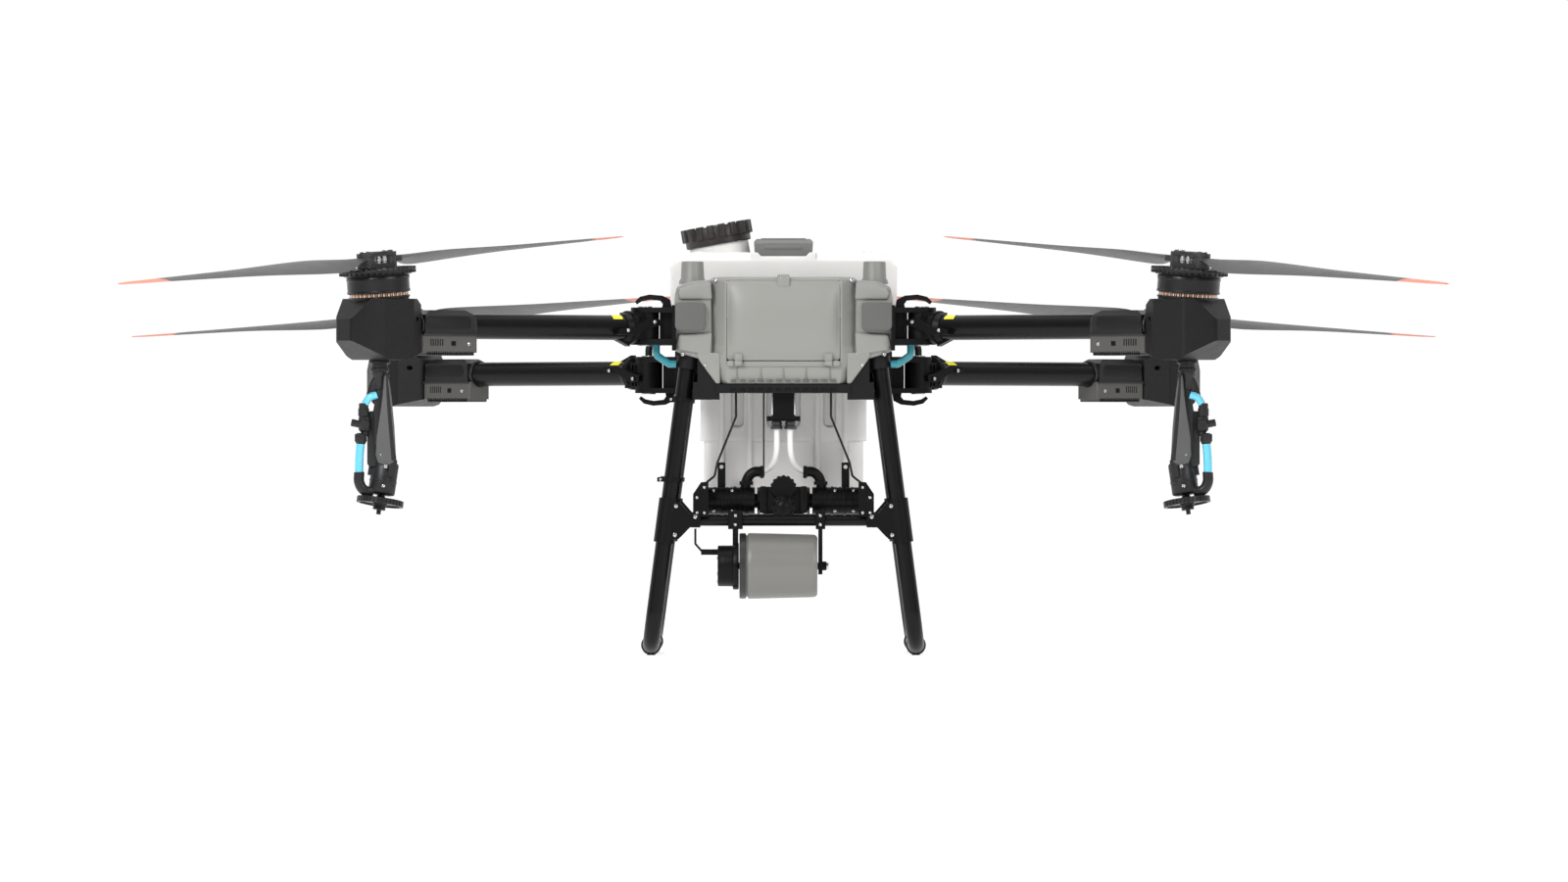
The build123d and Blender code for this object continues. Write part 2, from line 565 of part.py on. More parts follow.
rear_shell = from_side([(263, 480), (350, 500), (350, 600), (330, 630), (263, 640)], -140, 140)
rear_shell = fillet(rear_shell.edges().filter_by(Axis.Z), 14)
rear_inner = from_side([(262, 484), (346, 504), (346, 597), (328, 626), (262, 636)], -136, 136)
camera = rod((0, 340, 560), (0, 362, 560), 17) + block((-24, 24), (340, 352), (540, 580), edge=4)
camera = camera - rod((0, 358, 560), (0, 370, 560), 11)
save("rear_shell", rear_shell - rear_inner + camera - frame)

# ---------------------------------------------------------------- tank, lid and battery
TANK_WALL = 5.0
BATTERY_HALF_X = 52.0
BATTERY_FRONT = -50.0
BATTERY_REAR = 150.0
BATTERY_BOTTOM = 412.0
WELL_GAP = 0.1
FILLER_X = -113.0
FILLER_Y = 40.0
FILLER_TILT = -10.0
NECK_RADIUS = 53.0
NECK_BORE = 46.0
LID_RADIUS = 64.0


def tank_solid(inset):
    """Outer shape of the tank, or its inner shape when inset by the wall."""
    lower = 148 - inset
    low_body = block(
        (-lower, lower), (TANK_FRONT + inset, TANK_REAR - inset),
        (380 + inset, RAIL_TOP + 30), edge=16,
    )
    foot = block(
        (-142 + inset, 142 - inset), (TANK_FRONT + 4 + inset, TANK_REAR - 4 - inset),
        (TANK_BOTTOM + inset, 400), edge=16,
    )
    foot = chamfer(foot.faces().sort_by(Axis.Z)[0].edges(), 12)
    top_outline = [
        (-196 + inset, RAIL_TOP + inset), (196 - inset, RAIL_TOP + inset), (202 - inset, 640),
        (202 - inset, 689), (177 - inset / 2, TANK_TOP - inset), (-177 + inset / 2, TANK_TOP - inset),
        (-202 + inset, 689), (-202 + inset, 640),
    ]
    top = from_front(top_outline, TANK_FRONT + inset, TANK_REAR - inset)
    top = chamfer(top.edges().filter_by(Axis.X).group_by(Axis.Z)[-1], 14)
    return low_body + foot + top


filler = Pos(FILLER_X, FILLER_Y, TANK_TOP) * Rot(0, FILLER_TILT, 0)
tank = tank_solid(0) - tank_solid(TANK_WALL)
well_x = BATTERY_HALF_X + WELL_GAP
well_y = (BATTERY_FRONT - WELL_GAP, BATTERY_REAR + WELL_GAP)
sleeve = block(
    (-well_x - 4, well_x + 4), (well_y[0] - 4, well_y[1] + 4), (BATTERY_BOTTOM - 4, TANK_TOP - 1),
)
tank = tank + sleeve + filler * rod((0, 0, -12), (0, 0, 17), NECK_RADIUS)
notch_floor = block((-58, 58), (TANK_FRONT + 1, well_y[0]), (698, TANK_TOP - 1))
notch = from_front([(-52, 722), (-40, 709), (40, 709), (52, 722)], TANK_FRONT - 5, well_y[0] + 1)
tank = tank + notch_floor - notch
tank = tank - filler * rod((0, 0, -40), (0, 0, 40), NECK_BORE)
tank = tank - block((-well_x, well_x), well_y, (BATTERY_BOTTOM, TANK_TOP + 10))
for rib_x in (-110, -60, 60, 110):
    rib = block((rib_x - 4, rib_x + 4), (TANK_FRONT - 3, TANK_FRONT + 2), (300, 590), edge=1.5)
    tank = tank + rib + Pos(0, TANK_REAR - TANK_FRONT + 1, 0) * rib
for channel_x, channel_width in ((-82, 22), (0, 60), (82, 22)):
    channel = block(
        (channel_x - channel_width / 2, channel_x + channel_width / 2), (TANK_FRONT - 2, TANK_FRONT + 3),
        (405, 640),
    )
    tank = tank - fillet(channel.edges().filter_by(Axis.Y), 9)
save("tank", tank - frame)

lid = rod((0, 0, 17.2), (0, 0, 29), LID_RADIUS - 5) + rod((0, 0, 28), (0, 0, 53), LID_RADIUS)
lid = lid + rod((0, 0, -1), (0, 0, 18), NECK_BORE - RUNNING_GAP)
for step in range(24):
    flute = rod((LID_RADIUS + 1.5, 0, 20), (LID_RADIUS + 1.5, 0, 60), 5)
    lid = lid - Rot(0, 0, step * 15) * flute
lid = lid - rod((0, 0, 47), (0, 0, 60), 46, 12)
save("tank_lid", filler * lid)

battery = block(
    (-BATTERY_HALF_X, BATTERY_HALF_X), (BATTERY_FRONT, BATTERY_REAR), (BATTERY_BOTTOM, 709),
)
battery = chamfer(battery.edges().filter_by(Axis.Z), 4)
grip = from_front([
    (-38, 709), (38, 709), (52, 721), (53, 737), (48, 742), (-48, 742), (-53, 737), (-52, 721),
], -30, 130)
grip = chamfer(grip.edges().filter_by(Axis.X).group_by(Axis.Z)[-1], 8)
hand_slot = block((-60, 60), (0, 100), (718, 734))
grip = grip - hand_slot
save("battery_pack", battery + grip)

antenna = loft([
    Plane(origin=(161.5, -240, 665)) * Circle(21.0),
    Plane(origin=(160.8, -240, 698)) * Circle(19.5),
])
save("gnss_antennas", both_sides(antenna))

# ---------------------------------------------------------------- pumps and plumbing
PUMP_Y = -215.0
PUMP_Z = 274.0
PUMP_RADIUS = 24.0

pump = rod((51, PUMP_Y, PUMP_Z), (134, PUMP_Y, PUMP_Z), PUMP_RADIUS)
for band_x in (62, 84, 106):
    pump = pump + rod((band_x, PUMP_Y, PUMP_Z), (band_x + 5, PUMP_Y, PUMP_Z), PUMP_RADIUS + 1.5)
end_plate = from_front([(133, 246), (160, 246), (160, 286), (146, 307), (133, 308)], -276, -188)
upright = block((103, 117), (-200, -190), (270, 342), edge=3)
upright = upright - rod((110, -210, 334), (110, -180, 334), 3.5)
pump = pump + end_plate + upright
pump = pump - crossbar_list[0] - clamp_list[0]
save("spray_pumps", both_sides(pump))

manifold = block((-37, 37), (-240, -190), (250, 318), edge=8)
manifold = manifold + rod((-51, PUMP_Y, PUMP_Z), (51, PUMP_Y, PUMP_Z), 13)
manifold = manifold + rod((0, -262, 275), (0, -238, 275), 18)
manifold = manifold + block((-5, 5), (-270, -262), (259, 291), edge=3)
for mark in (-1, 1):
    elbow = bent_tube([
        (mark * 66, PUMP_Y, 280), (mark * 66, PUMP_Y, 325), (mark * 34, PUMP_Y, 325),
    ], 9, 8)
    manifold = manifold + elbow
    manifold = manifold - rod((mark * 51, PUMP_Y, PUMP_Z), (mark * 134, PUMP_Y, PUMP_Z), PUMP_RADIUS + 1.5)
manifold = manifold - crossbar_list[0]
save("pump_manifold", manifold)

meter = block((-21, 21), (-272, -240), (420, BEAM_BOTTOM), edge=3)
meter = meter + block((-30, 30), (-264, -248), (415, 424), edge=3)
for mark in (-1, 1):
    meter = meter + rod((mark * 12, -255, 402), (mark * 12, -255, 421), 8)
save("flow_meter", meter)

hose_list = []
for mark in (-1, 1):
    hose_list.append(bent_tube([
        (mark * 12, -255, 402), (mark * 12, -255, 362), (mark * 12, PUMP_Y, 325),
        (mark * 34, PUMP_Y, 325),
    ], 5, 10))
save("pump_hoses", hose_list)

hinge_low = FRONT_TUBE_Z + PLATE_BOTTOM
arm_hose = bent_tube([
    (RAIL_OUTER, FRONT_HINGE_Y, 516), (RAIL_OUTER + 12, FRONT_HINGE_Y, 516),
    (HINGE_X - 20, FRONT_HINGE_Y, 532), (HINGE_X - 20, FRONT_HINGE_Y, hinge_low),
], 6.5, 10)
save("arm_hoses", both_sides(arm_hose))

cable = bent_tube([
    (84, -262, BEAM_BOTTOM), (84, -262, 423), (117, -246, 342), (122, -240, 318), (136, -232, 307),
], 2, 8)
radar_cable = bent_tube([
    (-156, FRONT_LEG_Y, 225), (-156, FRONT_LEG_Y, 198), (-144, FRONT_LEG_Y, 184.5),
], 2, 5)
thin_cable = rod((-35, -264, BEAM_BOTTOM + 1), (-35, -238, 317), 1.5)
rear_cable = bent_tube([
    (RAIL_OUTER, REAR_HINGE_Y, 560), (HINGE_X, REAR_HINGE_Y, 560), (HINGE_X, REAR_HINGE_Y, 520),
], 6.5, 16)

# ---------------------------------------------------------------- terrain radar
RADAR_Z = 159.0
RADAR_Y = FRONT_LEG_Y

drum = rod((-62, RADAR_Y, RADAR_Z), (60, RADAR_Y, RADAR_Z), 58)
drum = fillet(drum.edges().filter_by(GeomType.CIRCLE), 6)
drum = drum + rod((-78, RADAR_Y, RADAR_Z), (-66, RADAR_Y, RADAR_Z), 58)
drum = drum + rod((-67, RADAR_Y, RADAR_Z), (-60, RADAR_Y, RADAR_Z), 54)
for groove_x in (-40, 38):
    drum = drum - rod((groove_x, RADAR_Y, RADAR_Z), (groove_x + 2, RADAR_Y, RADAR_Z), 60, 57)
drum = drum - rod((-90, RADAR_Y, RADAR_Z), (90, RADAR_Y, RADAR_Z), SHAFT_RADIUS + RUNNING_GAP)
save("radar_drum", drum)

left_strap = block((-90, -80), (RADAR_Y - 14, RADAR_Y + 14), (RADAR_Z - 20, 236))
motor = rod((-116, RADAR_Y, RADAR_Z), (-88, RADAR_Y, RADAR_Z), 36)
shaft = rod((-90, RADAR_Y, RADAR_Z), (64, RADAR_Y, RADAR_Z), SHAFT_RADIUS)
right_strap = block((61.5, 69), (RADAR_Y - 13, RADAR_Y + 13), (144, 236))
bolt = rod((69, RADAR_Y, RADAR_Z), (76, RADAR_Y, RADAR_Z), 8)
clamps = block((-98, -72), (RADAR_Y - 15, RADAR_Y + 15), (224, 256), edge=3)
clamps = clamps + block((57, 74), (RADAR_Y - 15, RADAR_Y + 15), (224, 256), edge=3)
connector = block((-146, -114), (RADAR_Y - 6, RADAR_Y + 6), (178.5, 188.5))
mount = left_strap + motor + shaft + right_strap + bolt + clamps + connector
save("radar_mount", mount - crossbar_list[0])
cable = cable - pump - frame
thin_cable = thin_cable - frame - manifold
cables = [*both_sides(cable), radar_cable - mount, thin_cable, *both_sides(rear_cable)]
save("cables", cables)
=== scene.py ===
import math

import bmesh
import bpy
from mathutils import Matrix, Vector


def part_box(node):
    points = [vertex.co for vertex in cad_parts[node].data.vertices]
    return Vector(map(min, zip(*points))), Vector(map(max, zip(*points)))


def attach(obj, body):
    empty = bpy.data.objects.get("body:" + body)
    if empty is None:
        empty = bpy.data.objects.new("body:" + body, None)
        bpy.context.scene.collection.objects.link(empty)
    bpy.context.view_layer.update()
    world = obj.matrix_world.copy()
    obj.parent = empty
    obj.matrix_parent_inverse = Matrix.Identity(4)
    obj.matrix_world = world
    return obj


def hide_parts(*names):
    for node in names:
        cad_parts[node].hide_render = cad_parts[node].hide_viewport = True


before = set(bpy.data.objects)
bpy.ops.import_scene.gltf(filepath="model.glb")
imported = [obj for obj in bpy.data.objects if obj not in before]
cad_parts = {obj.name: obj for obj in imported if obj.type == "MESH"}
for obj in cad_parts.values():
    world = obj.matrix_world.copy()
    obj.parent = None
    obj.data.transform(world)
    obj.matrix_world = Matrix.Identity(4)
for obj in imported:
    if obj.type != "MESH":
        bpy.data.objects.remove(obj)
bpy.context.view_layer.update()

# Layout shared with the CAD model, in millimetres before the final scale.
SHIFT = 17.7
MOTOR_X, FRONT_MOTOR_Y, REAR_MOTOR_Y = 702.5, -618.5, 696.5
HINGE_X, FRONT_HINGE_Y, REAR_HINGE_Y = 245.0, -272.0, 286.6
FRONT_TUBE_Z, REAR_TUBE_Z = 580.0, 503.0
FILLER = (-113.0, 40.0, 716.0)
FRONT_LEG_Y, REAR_LEG_Y = -262, 228
PUMP_Y, PUMP_Z = -215, 274
METER_Y = -255
RADAR_Z = 159
LANCE_Y = FRONT_MOTOR_Y
MARKER_RADIUS = 22.35

# Materials, in metres: where the blade tips start, how soft their edge is, and the bump depth.
TIP_START = 0.53
TIP_BLEND = 0.002
BUMP_DEPTH = 0.0006
# How strongly the wear on edges shows.
WEAR_GAIN = 8

ENDS = {
    "front": dict(motor_y=FRONT_MOTOR_Y, hinge_y=FRONT_HINGE_Y, z=FRONT_TUBE_Z, rise=49.0, tilt=4.5,
                  blade=-46.5, up=1),
    "rear": dict(motor_y=REAR_MOTOR_Y, hinge_y=REAR_HINGE_Y, z=REAR_TUBE_Z, rise=41.0, tilt=3.0,
                 blade=37.0, up=-1),
}


def turn(axis, degrees):
    return Matrix.Rotation(math.radians(degrees), 4, axis)


def move(x, y, z):
    return Matrix.Translation((x, y, z))


METRES = Matrix.Scale(0.001, 4) @ move(0, SHIFT, 0)
MIRROR = Matrix.Diagonal((-1, 1, 1, 1))


class Arm:
    """Where one arm's pieces go, from its hinge outward along X."""

    def __init__(self, end, hand):
        d = ENDS[end]
        self.name = f"{end}_{hand}"
        self.body = f"{self.name}_arm"
        self.up = d["up"]
        self.front = end == "front"
        self.length = math.hypot(MOTOR_X - HINGE_X, d["motor_y"] - d["hinge_y"])
        angle = math.degrees(math.atan2(d["motor_y"] - d["hinge_y"], MOTOR_X - HINGE_X))
        side = METRES if hand == "right" else METRES @ MIRROR
        self.hinge = side @ move(HINGE_X, d["hinge_y"], d["z"])
        self.place = self.hinge @ turn("Z", angle)
        self.motor = self.place @ move(self.length, 0, d["rise"]) @ turn("Y", d["tilt"])
        self.rotor = self.motor @ turn("Z", d["blade"] - angle)
        self.disc = self.place @ move(self.length - 2, 0, -306) @ turn("Y", -10)


ARMS = [Arm(end, hand) for end in ("front", "rear") for hand in ("right", "left")]

# ---------------------------------------------------------------- materials


def surface(name, colour, roughness, metallic=0.0, grain=900.0, relief=0.2, mottle=0.05, wear=0.2,
            edge=0.0012, coat=0.0, paint=None, weave=0.0, translucent=0.0, specular=0.5):
    """Procedural material: mottled colour, grain or weave bump, softened and slightly worn edges."""
    mat = bpy.data.materials.new(name)
    mat.use_nodes = True
    nodes, link = mat.node_tree.nodes, mat.node_tree.links.new
    bsdf = nodes["Principled BSDF"]
    coords = nodes.new("ShaderNodeTexCoord").outputs["Object"]

    def noise(scale, detail):
        n = nodes.new("ShaderNodeTexNoise")
        n.inputs["Scale"].default_value = scale
        n.inputs["Detail"].default_value = detail
        link(coords, n.inputs["Vector"])
        return n.outputs["Fac"]

    def math_node(kind, a, b):
        n = nodes.new("ShaderNodeMath")
        n.operation = kind
        n.use_clamp = True
        for i, value in enumerate((a, b)):
            if isinstance(value, (int, float)):
                n.inputs[i].default_value = value
            else:
                link(value, n.inputs[i])
        return n.outputs[0]

    def mix(factor, a, b):
        n = nodes.new("ShaderNodeMix")
        n.data_type = "RGBA"
        link(factor, n.inputs["Factor"])
        for key, value in (("A", a), ("B", b)):
            socket = [s for s in n.inputs if s.name == key and s.type == "RGBA"][0]
            if isinstance(value, tuple):
                socket.default_value = (*value[:3], 1.0)
            else:
                link(value, socket)
        return [s for s in n.outputs if s.type == "RGBA"][0]

    broad = noise(9.0, 4.0)
    fine = noise(grain, 3.0)
    dark = tuple(c * (1 - mottle) for c in colour)
    light = tuple(min(1.0, c * (1 + mottle)) for c in colour)
    base = mix(broad, dark, light)
    if paint:
        base = paint(nodes, link, coords, mix, math_node, base)
    bevel = nodes.new("ShaderNodeBevel")
    bevel.samples = 4
    bevel.inputs["Radius"].default_value = edge
    geometry = nodes.new("ShaderNodeNewGeometry")
    dot = nodes.new("ShaderNodeVectorMath")
    dot.operation = "DOT_PRODUCT"
    link(bevel.outputs[0], dot.inputs[0])
    link(geometry.outputs["Normal"], dot.inputs[1])
    corner = math_node("SUBTRACT", 1.0, dot.outputs["Value"])
    corner = math_node("MULTIPLY", corner, wear * WEAR_GAIN)
    corner = math_node("MULTIPLY", corner, noise(160.0, 5.0))
    worn = tuple(min(1.0, c * 1.6 + 0.06) for c in colour)
    link(mix(corner, base, worn), bsdf.inputs["Base Color"])
    shine = nodes.new("ShaderNodeMapRange")
    link(noise(38.0, 5.0), shine.inputs["Value"])
    shine.inputs["To Min"].default_value = max(0.03, roughness - 0.07)
    shine.inputs["To Max"].default_value = min(1.0, roughness + 0.07)
    link(shine.outputs["Result"], bsdf.inputs["Roughness"])
    bsdf.inputs["Metallic"].default_value = metallic
    bsdf.inputs["Coat Weight"].default_value = coat
    bsdf.inputs["Specular IOR Level"].default_value = specular
    height = fine
    if weave:
        wave = nodes.new("ShaderNodeTexWave")
        wave.inputs["Scale"].default_value = weave
        wave.inputs["Distortion"].default_value = 0.6
        wave.bands_direction = "DIAGONAL"
        link(coords, wave.inputs["Vector"])
        height = math_node("MULTIPLY", wave.outputs["Fac"], fine)
    bump = nodes.new("ShaderNodeBump")
    bump.inputs["Strength"].default_value = relief
    bump.inputs["Distance"].default_value = BUMP_DEPTH
    link(height, bump.inputs["Height"])
    link(bevel.outputs[0], bump.inputs["Normal"])
    link(bump.outputs["Normal"], bsdf.inputs["Normal"])
    if translucent:
        bsdf.inputs["Subsurface Weight"].default_value = translucent
        bsdf.inputs["Subsurface Radius"].default_value = (0.03, 0.03, 0.03)
        bsdf.inputs["Subsurface Scale"].default_value = 0.5
    return mat


def beyond(centre, radius, colour):
    """Paint a second colour further than a radius from a point: the blade tips."""

    def paint(nodes, link, coords, mix, math_node, base):
        offset = nodes.new("ShaderNodeVectorMath")
        offset.operation = "DISTANCE"
        link(coords, offset.inputs[0])
        offset.inputs[1].default_value = centre
        step = nodes.new("ShaderNodeMapRange")
        link(offset.outputs["Value"], step.inputs["Value"])
        step.inputs["From Min"].default_value = radius - TIP_BLEND
        step.inputs["From Max"].default_value = radius + TIP_BLEND
        return mix(step.outputs["Result"], base, colour)

    return paint


def past(axis, test, limit, colour):
    """Paint a second colour on one side of a plane: the radar's dark ring, a controller's saddle."""

    def paint(nodes, link, coords, mix, math_node, base):
        split = nodes.new("ShaderNodeSeparateXYZ")
        link(coords, split.inputs[0])
        return mix(math_node(test, split.outputs[axis], limit), base, colour)

    return paint


TIP_ORANGE = (0.80, 0.22, 0.12)
SADDLE_BLACK = (0.016, 0.016, 0.0165)
mats = {
    "tube": surface("carbon_tube", (0.004, 0.004, 0.0045), 0.3, grain=500, relief=0.1, weave=420,
                    specular=0.2, wear=0.03),
    "casting": surface("black_casting", (0.0035, 0.0035, 0.0038), 0.4, grain=700, relief=0.3,
                       specular=0.15, wear=0.1),
    "lever": surface("lever_black", (0.004, 0.004, 0.0045), 0.34, grain=800, relief=0.12,
                     specular=0.22, wear=0.1),
    "pod": surface("pod_grained_black", (0.005, 0.005, 0.0054), 0.46, grain=330, relief=1.0, mottle=0.25,
                   specular=0.28, edge=0.002, wear=0.12),
    "saddle": surface("saddle_black", (0.016, 0.016, 0.017), 0.42, grain=900, relief=0.2, specular=0.4),
    "motor": surface("motor_anodised", (0.012, 0.012, 0.013), 0.32, 0.3, grain=1200, relief=0.12,
                     specular=0.45),
    "lance": surface("lance_black", (0.012, 0.012, 0.0125), 0.4, grain=700, relief=0.3, specular=0.4),
    "lance_hose": surface("bright_hose", (0.16, 0.62, 0.83), 0.28, grain=300, relief=0.05, coat=0.3,
                          wear=0),
    "disc": surface("disc_black", (0.014, 0.014, 0.015), 0.34, grain=900, relief=0.1, specular=0.4),
    "frame": surface("frame_grey", (0.008, 0.008, 0.0085), 0.46, 0.1, grain=700, relief=0.25,
                     specular=0.2, wear=0.12),
    "shell": surface("shell_warm_grey", (0.26, 0.26, 0.243), 0.44, grain=1300, relief=0.14, mottle=0.02,
                     wear=0.05, edge=0.0035),
    # The shell grey darkened with painted shade, used for the arm root covers and the vent slots.
    "shell_painted_shade": surface("shell_inset_grey", (0.105, 0.106, 0.102), 0.44, grain=1300, relief=0.14,
                          mottle=0.02, wear=0.05, edge=0.003),
    "bracket": surface("bracket_dark", (0.004, 0.004, 0.0044), 0.42, 0.1, grain=700, relief=0.3,
                       specular=0.15, wear=0.1),
    "steel": surface("bright_steel", (0.62, 0.62, 0.63), 0.25, 0.95, grain=900, relief=0.06, wear=0),
    "tank": surface("tank_white", (0.83, 0.818, 0.795), 0.38, grain=500, relief=0.05, mottle=0.02, wear=0,
                    edge=0.006, translucent=0.5),
    "rubber": surface("foot_rubber", (0.008, 0.008, 0.008), 0.6, grain=300, relief=0.5, specular=0.3),
    "pump": surface("pump_black", (0.003, 0.003, 0.0033), 0.36, grain=800, relief=0.25, specular=0.15,
                    wear=0.1),
    "white_hose": surface("white_hose", (0.78, 0.78, 0.77), 0.3, grain=300, relief=0.05, wear=0,
                          translucent=0.3),
    "teal_hose": surface("teal_hose", (0.02, 0.22, 0.27), 0.3, grain=300, relief=0.08, coat=0.3, wear=0),
    "cable": surface("cable_black", (0.007, 0.007, 0.007), 0.45, grain=500, relief=0.2, wear=0,
                     specular=0.3),
    "antenna": surface("antenna_grey", (0.215, 0.216, 0.205), 0.44, grain=1200, relief=0.15, wear=0.05),
    "lid": surface("lid_brown", (0.022, 0.018, 0.017), 0.38, grain=700, relief=0.3, specular=0.4),
    "battery": surface("battery_grey", (0.165, 0.165, 0.158), 0.45, grain=1100, relief=0.25),
    "yellow": surface("band_yellow", (0.90, 0.85, 0.02), 0.4, grain=600, relief=0.04, wear=0),
    "plate": surface("plate_textured", (0.085, 0.085, 0.087), 0.48, grain=420, relief=0.8, mottle=0.15),
    "hub": surface("hub_plate_grey", (0.05, 0.05, 0.052), 0.36, 0.5, grain=1200, relief=0.12, wear=0.3),
    "copper": surface("winding_copper", (0.55, 0.24, 0.10), 0.3, 0.9, grain=1500, relief=0.3, wear=0),
}
for end, data in ENDS.items():
    saddle = past("Z", "GREATER_THAN", (data["z"] - 14) / 1000, SADDLE_BLACK)
    mats[f"esc_{end}"] = surface(f"controller_{end}", (0.10, 0.098, 0.092), 0.36, 0.35, grain=1100,
                                 relief=0.25, wear=0.3, paint=saddle)
ring_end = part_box("radar_drum")[0].x + 0.0115
mats["radar"] = surface("radar_grey", (0.185, 0.183, 0.168), 0.4, grain=1300, relief=0.1, mottle=0.02,
                        wear=0.03, edge=0.002, paint=past("X", "LESS_THAN", ring_end, (0.02, 0.02, 0.021)))
by_node = {
    "arm_tube": "tube", "arm_knuckle": "casting", "latch_lever": "lever", "motor_pod": "pod",
    "rotor": "motor", "spray_lance": "lance", "lance_hose": "lance_hose",
    "nozzle_disc": "disc", "fuselage_frame": "frame", "front_shell": "shell", "rear_shell": "shell",
    "arm_root_brackets": "bracket", "hinge_pins": "steel", "tank": "tank", "landing_skids": "tube",
    "skid_feet": "rubber", "crossbars": "tube", "leg_clamps": "casting", "spray_pumps": "pump",
    "pump_manifold": "pump", "flow_meter": "pump", "pump_hoses": "white_hose",
    "arm_hoses": "teal_hose", "cables": "cable", "radar_mount": "casting",
    "gnss_antennas": "antenna", "radar_drum": "radar", "tank_lid": "lid", "battery_pack": "battery",
    "access_hatch": "shell",
}
arm_names = tuple(f"{arm.name}_" for arm in ARMS)
for node_name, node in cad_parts.items():
    key = node_name
    for prefix in arm_names:
        key = key.removeprefix(prefix)
    if key.startswith("blade"):
        arm = next(a for a in ARMS if node_name.startswith(a.name))
        hub = arm.rotor @ Vector((0, 0, 66))
        mat = surface(f"{node_name}_composite", (0.034, 0.034, 0.035), 0.42, grain=900, relief=0.15,
                      mottle=0.06, wear=0.1, edge=0.0006, paint=beyond(hub, TIP_START, TIP_ORANGE))
    elif key == "esc_case":
        mat = mats["esc_front" if node_name.startswith("front") else "esc_rear"]
    else:
        mat = mats[by_node[key]]
    node.data.materials.clear()
    node.data.materials.append(mat)

# ---------------------------------------------------------------- mesh helpers


def piece(name, bm, mat, body, angle=35):
    """Turn a bmesh drawn in frame metres into an object that rides on a CAD body."""
    bmesh.ops.recalc_face_normals(bm, faces=bm.faces)
    mesh = bpy.data.meshes.new(name)
    bm.to_mesh(mesh)
    bm.free()
    for polygon in mesh.polygons:
        polygon.use_smooth = True
    mesh.set_sharp_from_angle(angle=math.radians(angle))
    mesh.materials.append(mats[mat])
    obj = bpy.data.objects.new(name, mesh)
    bpy.context.scene.collection.objects.link(obj)
    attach(obj, body)
    return obj


def lathe(bm, profile, matrix, steps=32):
    """Turn (radius, height) points round Z."""
    rings = []
    for radius, height in profile:
        if radius < 1e-6:
            rings.append([bm.verts.new(matrix @ Vector((0, 0, height)))])
            continue
        ring = []
        for i in range(steps):
            a = 2 * math.pi * i / steps
            ring.append(bm.verts.new(matrix @ Vector((radius * math.cos(a), radius * math.sin(a), height))))
        rings.append(ring)
    for low, high in zip(rings, rings[1:]):
        for i in range(steps):
            j = (i + 1) % steps
            corners = (low[i % len(low)], low[j % len(low)], high[j % len(high)], high[i % len(high)])
            corners = list(dict.fromkeys(corners))
            if len(corners) > 2:
                bm.faces.new(corners)


def prism(bm, outline, z0, z1, matrix, bevel=0.0, segments=2):
    """Extrude an outline in X and Y from z0 to z1, with rounded edges."""
    work = bmesh.new()
    low = [work.verts.new((x, y, z0)) for x, y in outline]
    high = [work.verts.new((x, y, z1)) for x, y in outline]
    work.faces.new(low[::-1])
    work.faces.new(high)
    for i in range(len(outline)):
        j = (i + 1) % len(outline)
        work.faces.new((low[i], low[j], high[j], high[i]))
    if bevel:
        bmesh.ops.bevel(work, geom=list(work.edges), offset=bevel, segments=segments, profile=0.6,
                        affect="EDGES", clamp_overlap=True)
    work.transform(matrix)
    mesh = bpy.data.meshes.new("work")
    work.to_mesh(mesh)
    work.free()
    bm.from_mesh(mesh)
    bpy.data.meshes.remove(mesh)


def rectangle(x0, x1, y0, y1):
    return [(x0, y0), (x1, y0), (x1, y1), (x0, y1)]


def rounded(x0, x1, y0, y1, radius, steps=5):
    """Rectangle outline with round corners."""
    points = []
    corners = ((x1 - radius, y1 - radius, 0), (x0 + radius, y1 - radius, 90),
               (x0 + radius, y0 + radius, 180), (x1 - radius, y0 + radius, 270))
    for cx, cy, start in corners:
        for i in range(steps + 1):
            a = math.radians(start + 90 * i / steps)
            points.append((cx + radius * math.cos(a), cy + radius * math.sin(a)))
    return points


def screw(bm, matrix, radius=3.0, height=2.0):
    """Domed screw head with a round-bottomed socket, seated 1 mm into its surface."""
    lathe(bm, [(0, height * 0.4), (radius * 0.42, height * 0.4), (radius * 0.5, height * 0.95),
               (radius * 0.75, height), (radius, height * 0.55), (radius, -1.0)], matrix, 18)


def nut(bm, matrix, radius, height):
    """Hexagon nut with chamfered corners."""
    lathe(bm, [(0, 0), (radius, 0), (radius, height * 0.85), (radius * 0.88, height),
               (0, height)], matrix, 6)


def facing(x, y, z, direction, base=METRES):
    """Matrix whose Z points along a direction, at a place in millimetres."""
    aim = Vector(direction).to_track_quat("Z", "Y").to_matrix().to_4x4()
    return base @ move(x, y, z) @ aim


def strip(bm, rings):
    """Join rows of points with four-sided faces. Each row has the same number of points."""
    rows = [[bm.verts.new(p) for p in ring] for ring in rings]
    for a, b in zip(rows, rows[1:]):
        for i in range(len(a) - 1):
            bm.faces.new((a[i], a[i + 1], b[i + 1], b[i]))
    return rows


